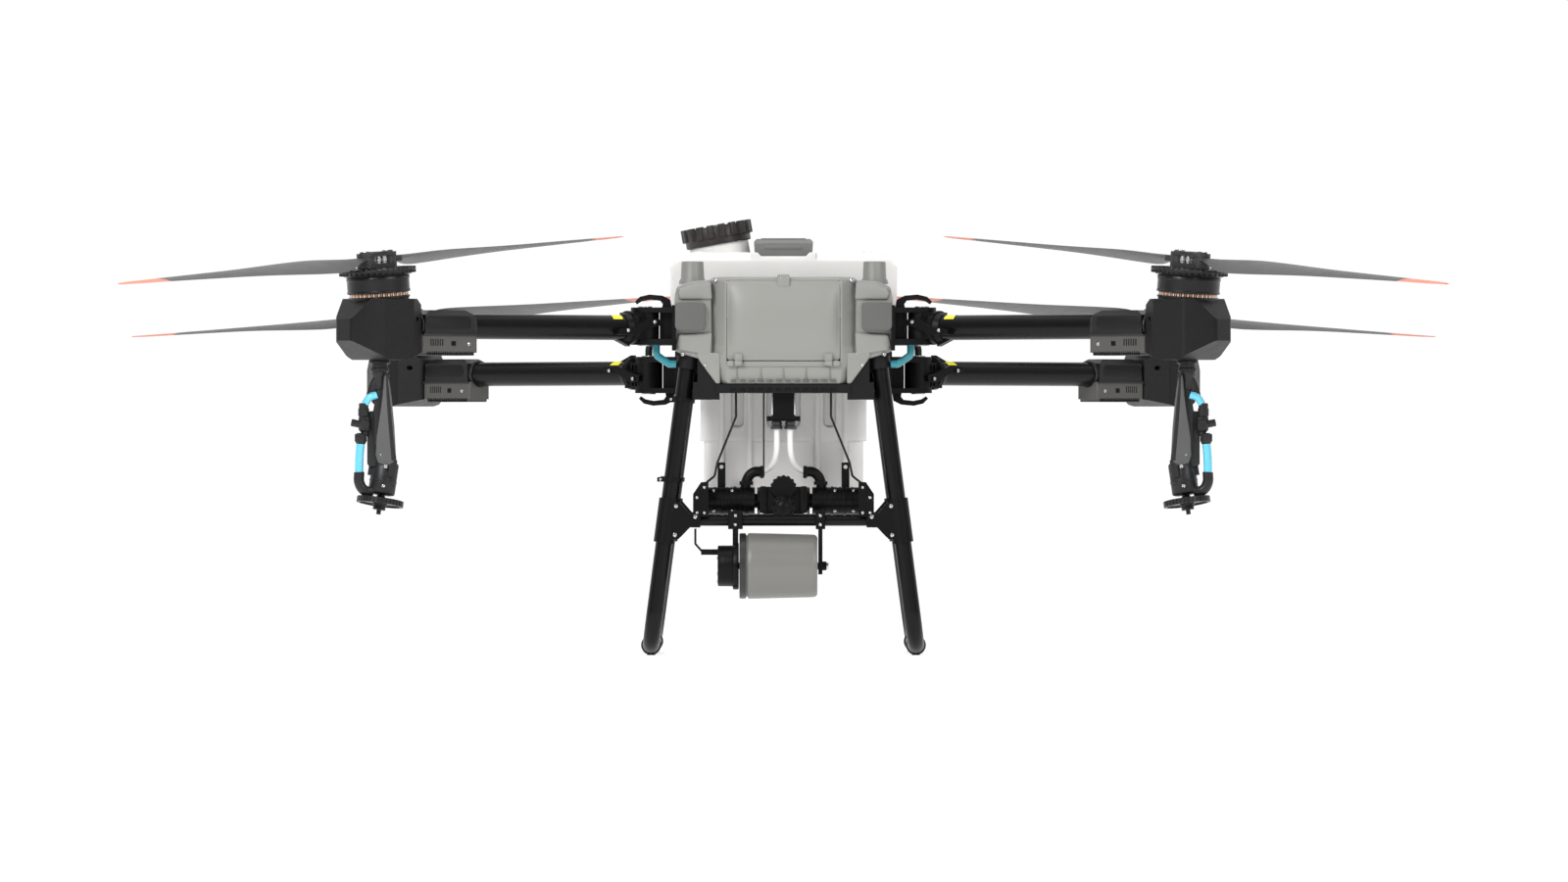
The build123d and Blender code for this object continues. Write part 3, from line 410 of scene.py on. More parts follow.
def tube(bm, points, radius, base):
    """Add a bent round bar through points in millimetres, with flat ends."""
    curve = bpy.data.curves.new("path", "CURVE")
    curve.dimensions = "3D"
    curve.bevel_depth = radius * 0.001
    curve.bevel_resolution = 6
    curve.use_fill_caps = True
    spline = curve.splines.new("BEZIER")
    spline.bezier_points.add(len(points) - 1)
    for knot, point in zip(spline.bezier_points, points):
        knot.co = base @ Vector(point)
        knot.handle_left_type = knot.handle_right_type = "AUTO"
    obj = bpy.data.objects.new("path", curve)
    bpy.context.scene.collection.objects.link(obj)
    mesh = bpy.data.meshes.new_from_object(obj)
    bpy.data.objects.remove(obj)
    bm.from_mesh(mesh)
    bpy.data.meshes.remove(mesh)


def hose(name, points, radius, mat, body, base):
    """One tube as a piece of its own."""
    bm = bmesh.new()
    tube(bm, points, radius, base)
    return piece(name, bm, mat, body)


def area_light(name, location, target, size, power):
    light = bpy.data.lights.new(name, "AREA")
    light.energy, light.size = power, size
    lamp = bpy.data.objects.new(name, light)
    lamp.location = location
    lamp.rotation_mode = "QUATERNION"
    lamp.rotation_quaternion = (Vector(target) - Vector(location)).to_track_quat("-Z", "Y")
    bpy.context.scene.collection.objects.link(lamp)


BOTH_SIDES = (METRES, METRES @ MIRROR)
LEFT = BOTH_SIDES[1]
FORWARD = (0, -1, 0)
OUTWARD = (1, 0, 0)

# ---------------------------------------------------------------- arm details
for arm in ARMS:
    length, up = arm.length, arm.up
    near = length - 192

    # Plain yellow marker wrapped over the front of the tube.
    bm = bmesh.new()
    rings = []
    for i in range(13):
        angle = math.radians(72 + 5.5 * i)
        skew = 5.0 * i / 12
        y, z = MARKER_RADIUS * math.cos(angle), MARKER_RADIUS * math.sin(angle)
        rings.append([arm.place @ Vector((x + skew, y, z)) for x in (55, 62, 69, 76)])
    strip(bm, rings)
    piece(f"{arm.name}_marker", bm, "yellow", arm.body)

    # Steel screws along the arm.
    bm = bmesh.new()
    for x, y, z in ((6, -37, 10 * up), (64, -37, -5 * up), (length - 172, -27, -31)):
        screw(bm, facing(x, y, z, FORWARD, arm.place), 3.2, 2.2)
    screw(bm, facing(length - 172, 27, -31, (0, 1, 0), arm.place), 3.2, 2.2)
    for angle in range(0, 360, 60):
        spot = arm.motor @ turn("Z", angle + 30) @ move(48.5, 0, 2)
        screw(bm, spot, 2.2, 1.4)
    piece(f"{arm.name}_screws", bm, "steel", arm.body)

    # Inset panels of the controller cover.
    bm = bmesh.new()
    for side in (-1, 1):
        panel = facing(length - 128, 28 * side, 6, (0, side, 0), arm.place)
        prism(bm, rounded(-48, 48, -11, 11, 9), -1, 0.7, panel, 0.5)
    piece(f"{arm.name}_cover_panels", bm, "pod", arm.body)

    # Screw slots and cooling fins of the cover.
    bm = bmesh.new()
    for side in (-1, 1):
        for x, z in ((length - 142, -30), (length - 137, -30)):
            socket = facing(x, 27 * side, z, (0, side, 0), arm.place)
            prism(bm, rounded(-2.2, 2.2, -4.2, 4.2, 0.8, 3), -1, 0.6, socket, 0.2)
        for i in range(22):
            fin = facing(length - 182 + i * 4.6, 26.6 * side, -47, (0, side, 0), arm.place)
            prism(bm, rectangle(-1.0, 1.0, -3.6, 3.2), -1, 0.7, fin, 0.2)
    piece(f"{arm.name}_cover_slots", bm, "casting", arm.body)

    # Seams along the cover and lips at its ends.
    bm = bmesh.new()
    for side in (-1, 1):
        seam = facing(length - 132, 27.5 * side, -15, (0, side, 0), arm.place)
        prism(bm, rounded(-58, 58, -2, 2, 1.6), -2, 1.6, seam, 0.6)
    for x in (near + 4, length - 80):
        lip = arm.place @ move(x, 0, 0) @ turn("Y", 90)
        lathe(bm, [(22.1, -4), (24.5, -4), (25.2, -3), (25.2, 3), (24.5, 4), (22.1, 4)], lip, 48)
    piece(f"{arm.name}_cover_seams", bm, "saddle", arm.body)

    # Windings and laminations seen in the gap under the bell.
    for metal, offset in (("copper", 0), ("steel", 5)):
        bm = bmesh.new()
        for i in range(36):
            coil = arm.motor @ turn("Z", i * 10 + offset) @ move(49.5, 0, 2.0)
            prism(bm, rounded(-1.8, 1.8, -1.7, 1.7, 1.2, 3), 0, 7.5, coil, 0.5)
        piece(f"{arm.name}_windings_{metal}", bm, metal, arm.body)

    # Seat ring between the housing and the motor.
    bm = bmesh.new()
    lathe(bm, [(50, -1), (53.5, -1), (54, 0), (54, 1.6), (53, 2.4), (50, 2.4)], arm.motor, 64)
    piece(f"{arm.name}_motor_seat", bm, "motor", arm.body)

    # Ribs on the casting over the hinge.
    if not arm.front:
        bm = bmesh.new()
        for x in (-4, 4, 12, 20):
            rib = facing(x, -22, -4, FORWARD, arm.place)
            prism(bm, rectangle(-1.3, 1.3, -21, 21), 0, 3.2, rib, 0.5)
        for z in (-24, -11, 3, 16):
            rib = facing(8, -22, z, FORWARD, arm.place)
            prism(bm, rectangle(-13, 13, -1.3, 1.3), 0, 2.9, rib, 0.5)
        piece(f"{arm.name}_casting_ribs", bm, "casting", arm.body)

# ---------------------------------------------------------------- disc teeth
for arm in ARMS:
    if not arm.front:
        continue
    bm = bmesh.new()
    for i in range(48):
        tooth = arm.disc @ turn("Z", i * 7.5)
        prism(bm, rectangle(33, 40.2, -0.35, 0.35), 4.6, 5.6, tooth)
    lathe(bm, [(8, 5), (9.5, 6.5), (7.2, 10), (5, 11)], arm.disc, 32)
    piece(f"{arm.name}_disc_teeth", bm, "disc", f"{arm.name}_disc")

# ---------------------------------------------------------------- front shell
# Row of vents under the door, coloured with the shell grey darkened by painted shade.
bm = bmesh.new()
for i in range(12):
    x = -88 + 16 * i
    prism(bm, rounded(-5.5, 5.5, -2.4, 2.4, 2.3), -0.6, 0.5, facing(x, -301, 486, FORWARD), 0.3)
piece("shell_vents", bm, "shell_painted_shade", "airframe")

# Screws round the shell.
bm = bmesh.new()
for base in BOTH_SIDES:
    screw(bm, facing(121, -279.0, 664, (0.5, -0.8, 0.35), base), 4.2, 2.4)
    screw(bm, facing(107, -284.0, 487, (0.6, -0.8, 0), base), 3.2, 2.0)
    screw(bm, facing(139, -296.0, 514, FORWARD, base), 3.0, 1.8)
    screw(bm, facing(178, -290.0, 533, FORWARD, base), 3.4, 2.0)
piece("shell_screws", bm, "steel", "airframe")

# Screws of the latch tab and of the lower door corners.
bm = bmesh.new()
for x in (-6, 6):
    screw(bm, facing(x, -304.5, 668, FORWARD), 1.8, 1.2)
for x in (-80, 80):
    screw(bm, facing(x, -301, 531, FORWARD), 2.6, 1.6)
piece("hatch_screws", bm, "steel", "hatch")

# ---------------------------------------------------------------- tank and battery
# Four bosses on the top of the tank.
bm = bmesh.new()
for y in (-118, 118):
    for x in (-150, 150):
        lathe(bm, [(9, -0.8), (9, 1.2), (7.6, 2.2), (0, 2.2)], METRES @ move(x, y + 20, 716), 32)
piece("tank_bosses", bm, "tank", "airframe")

# Finger ribs at both ends of the battery and the edge of its grip.
bm = bmesh.new()
for y in (*range(-22, 0, 5), *range(106, 130, 5)):
    prism(bm, rounded(-40, 40, -1.2, 1.2, 1.1), -0.6, 1.2, METRES @ move(0, y, 742), 0.4)
prism(bm, rounded(-34, 34, -3.5, 3.5, 3), -0.6, 1.0, facing(0, -30, 727, FORWARD), 0.5)
piece("battery_grips", bm, "battery", "battery")

# ---------------------------------------------------------------- landing gear


def leg_x(z):
    """Middle of a leaning leg at a height."""
    return 168 + (530 - z) * 67 / 512


# Rivets of the leg clamps on both sides, and of the wiring clips on the left legs.
bm = bmesh.new()
reach = leg_x(239)
for base in BOTH_SIDES:
    for bar_y in (FRONT_LEG_Y, REAR_LEG_Y):
        for x, z in ((reach - 14, 214), (156, 246), (reach - 16, 265)):
            for y, direction in ((bar_y - 18, FORWARD), (bar_y + 18, (0, 1, 0))):
                at = facing(x, y, z, direction, base)
                lathe(bm, [(3.9, -0.4), (3.9, 0.6), (2.8, 1.8), (0, 2.2)], at, 20)
for bar_y in (FRONT_LEG_Y, REAR_LEG_Y):
    for z in (454, 312):
        lathe(bm, [(2.6, -0.4), (2.6, 0.8), (1.8, 1.5), (0, 1.6)],
              facing(leg_x(z) + 21, bar_y - 3, z, FORWARD, LEFT), 18)
piece("leg_rivets", bm, "steel", "airframe")

# ---------------------------------------------------------------- pumps, manifold and meter
# Screws of the pumps and of the meter bracket.
bm = bmesh.new()
for base in BOTH_SIDES:
    for x in (91, 124):
        screw(bm, facing(x, -231.5, 291.6, (0, -0.68, 0.73), base), 3.2, 2.2)
        screw(bm, facing(x, -231.5, 256.4, (0, -0.68, -0.73), base), 3.2, 2.2)
    for x, z in ((140, 253), (153, 253), (140, 298), (153, 280)):
        screw(bm, facing(x, -276, z, FORWARD, base), 2.8, 1.8)
    screw(bm, facing(26, -256, 470, FORWARD, base), 2.8, 2.0)
piece("pump_screws", bm, "steel", "airframe")

# Raised rings and hose nuts of the pumps.
bm = bmesh.new()
for base in BOTH_SIDES:
    for x in (68, 76, 92, 100, 122):
        ring = base @ move(x, PUMP_Y, PUMP_Z) @ turn("Y", 90)
        lathe(bm, [(23.8, -1.4), (24.9, -0.9), (24.9, 0.9), (23.8, 1.4)], ring, 48)
    nut(bm, base @ move(66, PUMP_Y, 302), 12, 7)
    nut(bm, base @ move(35, PUMP_Y, 325) @ turn("Y", 90), 11, 7)
piece("pump_rings", bm, "pump", "airframe")

# Cable nuts on the meter.
bm = bmesh.new()
for base in BOTH_SIDES:
    for z, radius in ((401, 10.5), (408, 9.5)):
        nut(bm, base @ move(12, METER_Y, z), radius, 6)
piece("meter_nuts", bm, "hub", "airframe")

# Bright edges of the meter.
bm = bmesh.new()
for x in (-20, 20):
    prism(bm, rounded(-1.2, 1.2, -20, 20, 1), -0.4, 0.8, facing(x, -272, 446, FORWARD), 0.3)
piece("meter_edges", bm, "steel", "airframe")

# ---------------------------------------------------------------- terrain radar
# Screws of the radar drive and of its hangers.
bm = bmesh.new()
for angle in range(0, 360, 60):
    a = math.radians(angle + 30)
    y, z = FRONT_LEG_Y + 28 * math.cos(a), RADAR_Z + 28 * math.sin(a)
    screw(bm, facing(-116, y, z, (-1, 0, 0)), 2.8, 1.8)
nut(bm, facing(76, FRONT_LEG_Y, RADAR_Z, OUTWARD), 6.5, 4)
for x in (-85, 65):
    screw(bm, facing(x, -277, 232, FORWARD), 3.0, 2.0)
    screw(bm, facing(x, -277, 248, FORWARD), 3.0, 2.0)
piece("radar_screws", bm, "steel", "airframe")

# ---------------------------------------------------------------- front shell skin
# Rows of the shell from the chin up: height, outer half width, crease half width, front and corner depth.
SHELL_ROWS = (
    (481, 117, 96, -294, -276), (489, 122, 98, -297, -276), (512, 138, 99, -300.5, -276),
    (521, 144, 100.2, -300.8, -275), (533, 148, 100.2, -300.8, -272), (549, 143, 100.2, -300.8, -264),
    (600, 139, 100.2, -300.8, -262), (642, 138, 100.2, -300.8, -262), (657, 136, 100.2, -300.5, -262),
    (664.3, 132, 100.2, -299.5, -258), (670, 124, 98, -290, -250),
)
bm = bmesh.new()
rings = []
for z, wide, crease, front, corner in SHELL_ROWS:
    half = [(wide, -170), (wide, corner + 12), (wide - 2, corner), (crease + 3, front), (crease, front)]
    full = half + [(-x, y) for x, y in reversed(half)]
    rings.append([METRES @ Vector((x, y, z)) for x, y in full])
rows = strip(bm, rings)
doorway = []
for face in bm.faces:
    middle = face.calc_center_median()
    if abs(middle.x) < 0.01 and 0.521 < middle.z < 0.664:
        doorway.append(face)
bmesh.ops.delete(bm, geom=doorway, context="FACES")
top_rim = [METRES @ Vector((x, -170, 670)) for x in (124, -124)]
corners = [bm.verts.new(p) for p in top_rim]
bm.faces.new([corners[0]] + rows[-1][1:-1] + [corners[1]])
bmesh.ops.remove_doubles(bm, verts=bm.verts, dist=0.00005)
shell_skin = piece("front_shell_skin", bm, "shell", "airframe", angle=50)
solid = shell_skin.modifiers.new("thickness", "SOLIDIFY")
solid.thickness = 0.003
solid.offset = -1
soft = shell_skin.modifiers.new("soft_creases", "BEVEL")
soft.width = 0.0022
soft.segments = 3
soft.limit_method = "ANGLE"
soft.angle_limit = math.radians(14)
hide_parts("front_shell")

# Hinge lugs, shoulders, raised pads and the slanted corners of the chin.
bm = bmesh.new()
for base in BOTH_SIDES:
    prism(bm, rounded(86.6, 100, -5, 5, 4), 0, 9, facing(0, -299, 517, FORWARD, base), 1.2)
    shoulder = [(126, 522), (152, 526), (188, 536), (197, 547), (193, 590), (192, 636), (189, 653),
                (166, 662),
                (128, 665)]
    prism(bm, shoulder, 182, 290, base @ turn("X", 90), 7, 4)
    pad = [(126, 630), (184, 630), (187, 640), (184, 650), (164, 657), (128, 660)]
    prism(bm, pad, 286, 295, base @ turn("X", 90), 4, 3)
    wing = [(128, 530), (186, 541), (190, 550), (186, 568), (126, 572)]
    prism(bm, wing, 286, 296, base @ turn("X", 90), 4, 3)
    chin = [(112, 481.5), (119, 481.5), (147, 520), (154, 531), (152, 536), (112, 536)]
    prism(bm, chin, 284, 296, base @ turn("X", 90), 2.5, 3)
piece("front_shell_shoulders", bm, "shell", "airframe", angle=50)

# Covers over the arm roots, coloured with the shell grey darkened by painted shade.
bm = bmesh.new()
for base in BOTH_SIDES:
    cover = rounded(138.5, 191.5, 575.5, 624.5, 8, 6)
    prism(bm, cover, 284, 309, base @ turn("X", 90), 5, 4)
piece("arm_root_covers", bm, "shell_painted_shade", "airframe", angle=50)

# Door of the front shell, a domed skin with its hinge barrels and latch tab.
bm = bmesh.new()
prism(bm, rounded(-99.7, 99.7, -70.7, 70.7, 6, 6), 0, 4.4, facing(0, -296.2, 593, FORWARD), 1.2, 3)
rings = []
for step in range(-30, 31):
    rise = step / 30
    ring = []
    for across in range(-40, 41):
        out = 14 * (1 - abs(across / 40) ** 9) * (1 - abs(rise) ** 2.4)
        ring.append(METRES @ Vector((across / 40 * 98, -300.4 - out, 593 + 69 * rise)))
    rings.append(ring)
strip(bm, rings)
prism(bm, rounded(-11, 11, -10.5, 10.5, 3), 0, 6, facing(0, -299, 663.5, FORWARD), 1.3, 3)
for x in (-86.6, 72.8):
    lathe(bm, [(2.8, 0), (4.8, 0), (5, 0.3), (5, 13.5), (4.8, 13.8), (2.8, 13.8)],
          METRES @ move(x, -306, 517) @ turn("Y", 90), 32)
    prism(bm, rounded(0, 13.8, -6, 8, 2), 0, 7, facing(x, -299.5, 527, FORWARD), 1.0)
door = piece("door_skin", bm, "shell", "hatch", angle=50)
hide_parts("access_hatch")

# Raised ribs under the door.
bm = bmesh.new()
prism(bm, rectangle(-80, 80, -1, 1), 0, 1.6, facing(0, -299.6, 511, FORWARD), 0.5)
prism(bm, rectangle(-82, 82, -0.8, 0.8), 0, 2.0, facing(0, -297.4, 488, FORWARD), 0.5)
for x in (-82, -40, 0, 40, 82):
    prism(bm, rectangle(-1, 1, -11, 11), 0, 1.2, facing(x, -299.2, 500, FORWARD), 0.4)
piece("shell_ledge", bm, "shell", "airframe")

# Antenna housings with crisp rims.
bm = bmesh.new()
for base in BOTH_SIDES:
    lathe(bm, [(0, 698), (18.2, 698), (19.3, 697.2), (19.6, 695.5), (20.8, 668), (23.5, 664), (24.5, 658)],
          base @ move(161.2, -240, 0), 56)
antennas = piece("antenna_housings", bm, "antenna", "airframe", angle=40)
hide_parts("gnss_antennas")

# ---------------------------------------------------------------- tank lid and battery grip
bm = bmesh.new()
lid = METRES @ move(*FILLER) @ turn("Y", -10)
lathe(bm, [(45.8, 0), (45.8, 17.2), (57, 17.2), (58.5, 18.5), (58.5, 27.5), (60, 29.5), (60, 46),
           (58, 49.5),
           (53, 50.5), (48, 50.5), (46, 48), (45, 46.5), (0, 46.5)], lid, 72)
for i in range(18):
    lobe = lid @ turn("Z", i * 20)
    prism(bm, rounded(52, 63.8, -6.2, 6.2, 3, 4), 29.5, 52.5, lobe, 1.6)
for i in range(9):
    spoke = lid @ turn("Z", i * 40 + 10)
    prism(bm, rounded(14, 48, -2, 2, 1.5, 3), 46, 50, spoke, 0.8)
lathe(bm, [(15, 46), (15, 51.5), (12, 52.8), (0, 52.8)], lid, 40)
lid_cap = piece("tank_lid_cap", bm, "lid", "lid")
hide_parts("tank_lid")

# ---------------------------------------------------------------- landing gear
bm = bmesh.new()
for base in BOTH_SIDES:
    for y0, y1 in ((-208, -152), (118, 174)):
        ring = base @ move(235, 0, 18) @ turn("X", 90)
        lathe(bm, [(15.05, -y1), (17.2, -y1 + 1.5), (17.9, -y1 + 4), (17.9, -y0 - 4), (17.2, -y0 - 1.5),
                   (15.05, -y0)], ring, 40)
        for i in range(9):
            y = y0 + (y1 - y0) * (i + 0.5) / 9
            at = base @ move(235, y, 1.4) @ turn("X", 180)
            prism(bm, rounded(-7, 7, -2.4, 2.4, 2), -0.1, 1.4, at, 0.5)
feet = piece("skid_sleeves", bm, "rubber", "airframe")
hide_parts("skid_feet")

# ---------------------------------------------------------------- rotors
for arm in ARMS:
    rotor_body = f"{arm.name}_rotor"
    bm = bmesh.new()
    lathe(bm, [(52.6, 12), (52.6, 9), (54.2, 8.6), (55.2, 9.4), (55.2, 12), (54.3, 12.8), (54.3, 31),
               (55.2, 31.7),
               (55.2, 36), (54, 38), (50, 38.6), (47, 38)], arm.rotor, 96)
    lathe(bm, [(30, 50), (60, 50), (65.5, 49.6), (66.6, 48.8), (66.6, 45.5), (65, 44), (58, 38.6),
               (50, 38)],
          arm.rotor, 96)
    for i in range(40):
        vane = arm.rotor @ turn("Z", i * 9)
        prism(bm, rounded(55.5, 67, -1.0, 1.0, 0.9, 2), 41, 51.6, vane, 0.3)
    lathe(bm, [(0, 51.8), (30, 51.8), (34, 50.8), (36, 49.5)], arm.rotor, 64)
    bell = piece(f"{arm.name}_bell", bm, "motor", rotor_body)
    bm = bmesh.new()
    prism(bm, rounded(-42, 42, -16, 16, 15.5, 12), 51.5, 59.8, arm.rotor, 1.2)
    prism(bm, rounded(-42, 42, -16, 16, 15.5, 12), 72.2, 78.6, arm.rotor, 1.4, 3)
    prism(bm, rounded(-13, 13, -17.5, 17.5, 4, 4), 78, 80.2, arm.rotor, 0.8)
    for x in (-27, 27):
        lathe(bm, [(0, 81.4), (8.6, 81.4), (9.8, 80.4), (9.8, 78)], arm.rotor @ move(x, 0, 0), 40)
    piece(f"{arm.name}_hub_plates", bm, "hub", rotor_body)
    bm = bmesh.new()
    for x, y in ((-7, -12), (7, 12), (7, -12), (-7, 12)):
        lathe(bm, [(3.4, 59.5), (3.4, 62.5), (4.2, 63), (4.2, 69), (3.4, 69.5), (3.4, 72.5)],
              arm.rotor @ move(x, y, 0), 24)
    for x in (-27, 27):
        lathe(bm, [(4.9, 59.5), (4.9, 72.5)], arm.rotor @ move(x, 0, 0), 24)
        lathe(bm, [(0, 80.6), (3.2, 80.6), (3.4, 82.2), (5.2, 82.2),
                   (5.6, 81.2)], arm.rotor @ move(x, 0, 0), 6)
    piece(f"{arm.name}_hub_spacers", bm, "steel", rotor_body)
    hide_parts(rotor_body)

# ---------------------------------------------------------------- spray lances
for base, arm in zip(BOTH_SIDES, ARMS[:2]):
    at = base @ move(0, LANCE_Y, 0)
    neck = at @ move(701.8, 0, 0)
    bm = bmesh.new()
    lathe(bm, [(12, 524), (16.5, 523), (18.4, 519), (18.4, 515), (14.6, 513), (14.6, 507), (16.4, 506),
               (16.4, 501),
               (14.6, 500), (14.6, 494), (13, 492), (13, 470)], neck, 40)
    upper = at @ turn("X", 90)
    arm_plate = [(693.4, 494), (685.5, 496), (680, 452), (675.5, 404), (672.5, 350), (680, 340), (690, 336),
                 (704, 342), (708.5, 356), (706, 388), (698, 440)]
    prism(bm, [(x + 2, z) for x, z in arm_plate[1:-1]], -19, -8, upper, 3.0, 3)
    prism(bm, [(704, 486), (688, 486), (684, 440), (686, 372), (712, 372), (713, 430)], -9, 11, upper, 3, 3)
    prism(bm, rounded(706, 723, 336, 432, 6), -12, 8, upper, 2.5, 3)
    core = piece(f"{arm.name}_lance_frame", bm, "lance", arm.body, angle=45)
    bm = bmesh.new()
    prism(bm, arm_plate, 10, 19, upper, 3.2, 3)
    piece(f"{arm.name}_lance_plate", bm, "plate", arm.body, angle=45)
    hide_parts(f"{arm.name}_spray_lance")
    hose(f"{arm.name}_lance_rod", [(689, LANCE_Y - 14, 496), (684, LANCE_Y - 15, 430),
                                   (677, LANCE_Y - 15, 346)],
         5.2, "lance", arm.body, base)
    hose(f"{arm.name}_lance_elbow", [(703, LANCE_Y - 2, 492), (712, LANCE_Y - 2, 474),
                                     (716, LANCE_Y - 2, 456)],
         9.5, "lance", arm.body, base)
    hose(f"{arm.name}_feed_top", [(706, LANCE_Y - 12, 460), (718, LANCE_Y - 13, 456),
                                  (727, LANCE_Y - 13, 444)],
         6.6, "lance_hose", arm.body, base)
    low_hose = hose(f"{arm.name}_feed_low",
                    [(734, LANCE_Y - 10, 380), (736.5, LANCE_Y - 10, 350), (737, LANCE_Y - 10, 320)],
                    7.4, "lance_hose", arm.body, base)
    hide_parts(f"{arm.name}_lance_hose")
    bm = bmesh.new()
    fitting = at @ move(729, -12, 0)
    lathe(bm, [(6, 446), (8.4, 445), (8.4, 437), (9.6, 436), (9.6, 424), (8, 422), (6, 421)], fitting, 32)
    lathe(bm, [(4, 426), (7, 425), (11, 421), (11.6, 410), (11, 399), (7, 395),
               (6, 388)], at @ move(727, -8, 0), 32)
    lathe(bm, [(0, 14), (7, 14), (8.5, 12.5), (8.5, 0)], facing(727, LANCE_Y - 12, 409, FORWARD, base), 24)
    lathe(bm, [(0, 16), (5.5, 16), (6.5, 15), (6.5, 0)], facing(735, LANCE_Y - 8, 409, (1, 0, 0.2),
                                                                base), 24)
    lathe(bm, [(6, 394), (9.6, 392), (9.8, 380), (8.6, 376), (6.6, 374)], at @ move(734, -10, 0), 32)
    for i in range(12):
        ridge = at @ move(734, -10, 0) @ turn("Z", i * 30)
        prism(bm, rectangle(9.0, 10.6, -0.9, 0.9), 379, 392, ridge, 0.3)
    piece(f"{arm.name}_valve", bm, "lance", arm.body)
    hose(f"{arm.name}_lance_tail",
         [(737, LANCE_Y - 10, 326), (736, LANCE_Y - 10, 306), (727, LANCE_Y - 9, 294),
          (712, LANCE_Y - 8, 292)],
         9.2, "lance", arm.body, base)
    bm = bmesh.new()
    lathe(bm, [(0, 12.6), (18, 12.8), (22, 14), (23.4, 16), (23.4, 34), (24.2, 35), (24.2, 37), (23.4, 38),
               (23.4, 66), (22, 69), (17, 72), (0, 72)], arm.disc, 56)
    for angle in (35, 155, 275):
        ear = arm.disc @ turn("Z", angle)
        prism(bm, rounded(17, 28.5, -7.5, 7.5, 3), 44, 74, ear, 2)
    piece(f"{arm.name}_disc_motor", bm, "lance", arm.body)
    bm = bmesh.new()
    for x, z in ((690.5, 336), (694.5, 302)):
        screw(bm, facing(x, LANCE_Y - 23.5, z, FORWARD, base), 3.4, 2.4)
    screw(bm, facing(699, LANCE_Y - 18.5, 356, FORWARD, base), 1.8, 1.2)
    piece(f"{arm.name}_lance_bolts", bm, "steel", arm.body)

# ---------------------------------------------------------------- radar drive and pump manifold
bm = bmesh.new()
drive = facing(-116.5, FRONT_LEG_Y, RADAR_Z, OUTWARD)
lathe(bm, [(0, 0), (32, 0), (35.4, 2.5), (36.2, 6), (36.2, 26), (41, 27), (42, 28.5), (42, 36), (40, 37.4),
           (20, 37.4)], drive, 72)
for i in range(6):
    lug = drive @ turn("Z", i * 60)
    prism(bm, rounded(36, 44, -4, 4, 3), 28, 34, lug, 0.8)
piece("radar_drive_cover", bm, "casting", "airframe")

# Front knob, side discs and clamping plates of the manifold.
bm = bmesh.new()
knob = facing(0, -252, 262, FORWARD)
lathe(bm, [(21, -12), (21, 0), (19, 1), (18, 12), (15, 15), (8, 15.5), (6, 17), (0, 17)], knob, 48)
for i in range(8):
    prism(bm, rounded(13, 22, -4, 4, 3), 1, 14, knob @ turn("Z", i * 45), 1.4)
for base in BOTH_SIDES:
    for x in (24, 34, 44):
        disc = facing(x, PUMP_Y, PUMP_Z, OUTWARD, base)
        lathe(bm, [(12, -2.6), (22, -2.6), (24, -1.6), (24, 1.6), (22, 2.6), (12, 2.6)], disc, 8)
    prism(bm, rounded(30, 42, 252, 300, 3), 232, 246, base @ turn("X", 90), 1.6)
piece("manifold_knobs", bm, "pump", "airframe")

# Manifold body with its serrated dome, couplings and elbows, and the white hoses that curve into them.
bm = bmesh.new()
prism(bm, rounded(-37, 37, 251, 299, 5), 191, 240, METRES @ turn("X", 90), 2.5, 3)
dome = facing(0, -191, 296, FORWARD)
lathe(bm, [(0, 0), (20.5, 0), (22, 1.5), (22, 51), (20, 54), (0, 54)], dome, 48)
for i in range(-4, 5):
    prism(bm, rounded(17, 23.6, -2.6, 2.6, 1.5), 36, 53, dome @ turn("Z", 90 + i * 24), 0.8)
lathe(bm, [(0, 0), (13, 0), (13, 102), (0, 102)], facing(-51, PUMP_Y, PUMP_Z, OUTWARD), 40)
for base in BOTH_SIDES:
    tube(bm, [(66, PUMP_Y, 288), (66, PUMP_Y, 308), (54, PUMP_Y, 324), (35, PUMP_Y, 325)], 9, base)
manifold = piece("manifold_body", bm, "pump", "airframe")
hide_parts("pump_manifold")
bm = bmesh.new()
for base in BOTH_SIDES:
    tube(bm, [(12, METER_Y, 404), (12, METER_Y, 380), (14, -247, 353), (24, -227, 333),
              (38, PUMP_Y, 325)], 5, base)
curved = piece("curved_pump_hoses", bm, "white_hose", "airframe")
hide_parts("pump_hoses")

# Radar drum, slightly tapered, with the dark ring at its driven end.
bm = bmesh.new()
lathe(bm, [(9, 0), (56.5, 0), (58, 1.5), (58, 10.5), (56.8, 12), (54.4, 12), (54.4, 14.4), (57, 15),
           (58.4, 18),
           (58.2, 24), (56.8, 80), (55.6, 128), (55.2, 133), (53, 136.6), (49, 138), (9, 138)],
      facing(-78, FRONT_LEG_Y, RADAR_Z, OUTWARD), 96)
drum = piece("radar_skin", bm, "radar", "radar", angle=30)
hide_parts("radar_drum")

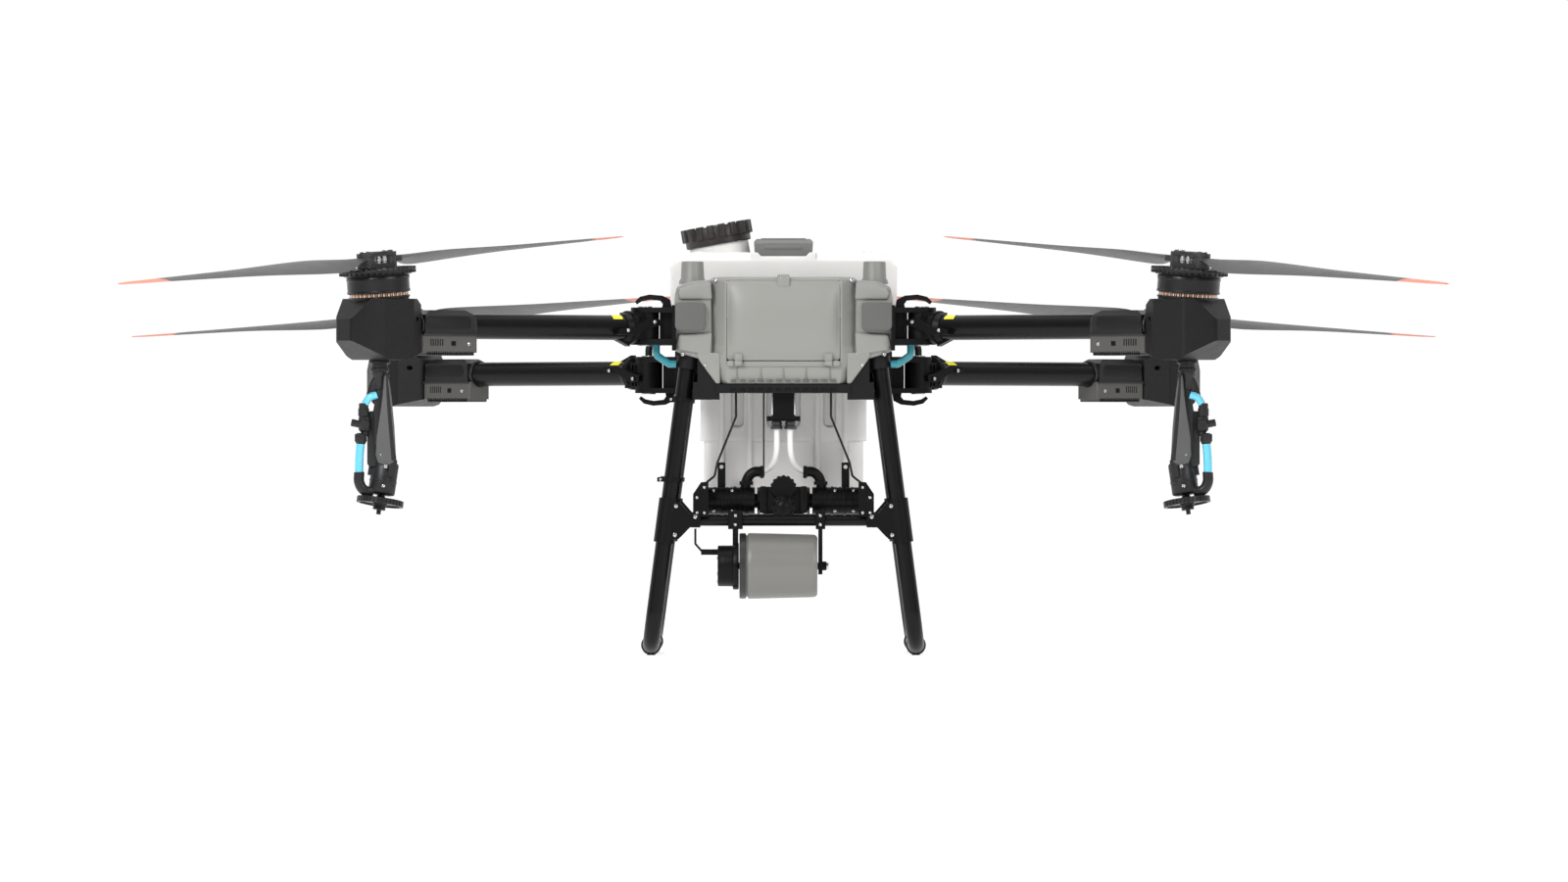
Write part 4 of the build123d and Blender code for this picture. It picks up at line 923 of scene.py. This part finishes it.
# ---------------------------------------------------------------- studio
floor_mesh = bpy.data.meshes.new("floor")
floor_mesh.from_pydata([(-60, -60, 0), (60, -60, 0), (60, 60, 0), (-60, 60, 0)], [], [(0, 1, 2, 3)])
floor = bpy.data.objects.new("studio_floor", floor_mesh)
bpy.context.scene.collection.objects.link(floor)
floor_mat = surface("floor_pale", (0.5, 0.5, 0.5), 0.7, grain=30, relief=0.0, wear=0)
floor_shader = floor_mat.node_tree.nodes["Principled BSDF"]
floor_shader.inputs["Emission Color"].default_value = (1.0, 1.0, 1.0, 1.0)
floor_shader.inputs["Emission Strength"].default_value = 0.72
floor.data.materials.append(floor_mat)

# White wall behind, darker room in front, so that black parts keep deep tones and bright edges.
world = bpy.data.worlds.new("studio")
bpy.context.scene.world = world
world.use_nodes = True
sky_nodes, sky_link = world.node_tree.nodes, world.node_tree.links.new
split = sky_nodes.new("ShaderNodeSeparateXYZ")
sky_link(sky_nodes.new("ShaderNodeTexCoord").outputs["Generated"], split.inputs[0])
blend = sky_nodes.new("ShaderNodeMapRange")
blend.interpolation_type = "SMOOTHSTEP"
sky_link(split.outputs["Y"], blend.inputs["Value"])
blend.inputs["From Min"].default_value = -0.35
blend.inputs["From Max"].default_value = 0.6
blend.inputs["To Min"].default_value = 0.10
blend.inputs["To Max"].default_value = 1.02
sky_link(blend.outputs["Result"], sky_nodes["Background"].inputs[1])
sky_nodes["Background"].inputs[0].default_value = (1.0, 1.0, 1.0, 1.0)


area_light("key", (-2.4, -4.2, 3.2), (0, 0, 0.4), 1.8, 190)
area_light("fill", (3.0, -3.8, 2.6), (0, 0, 0.4), 1.8, 80)
area_light("top", (0, -0.6, 4.5), (0, 0, 0.4), 2.5, 55)

camera_data = bpy.data.cameras.new("camera")
camera_data.sensor_width = 36.0
camera_data.lens = 255.6
camera_data.clip_end = 200
camera = bpy.data.objects.new("camera", camera_data)
camera.location = (0.0009, -19.943, 0.380)
camera.rotation_euler = (math.radians(90), 0, 0)
bpy.context.scene.collection.objects.link(camera)
bpy.context.scene.camera = camera
bpy.context.scene.view_settings.view_transform = "Standard"
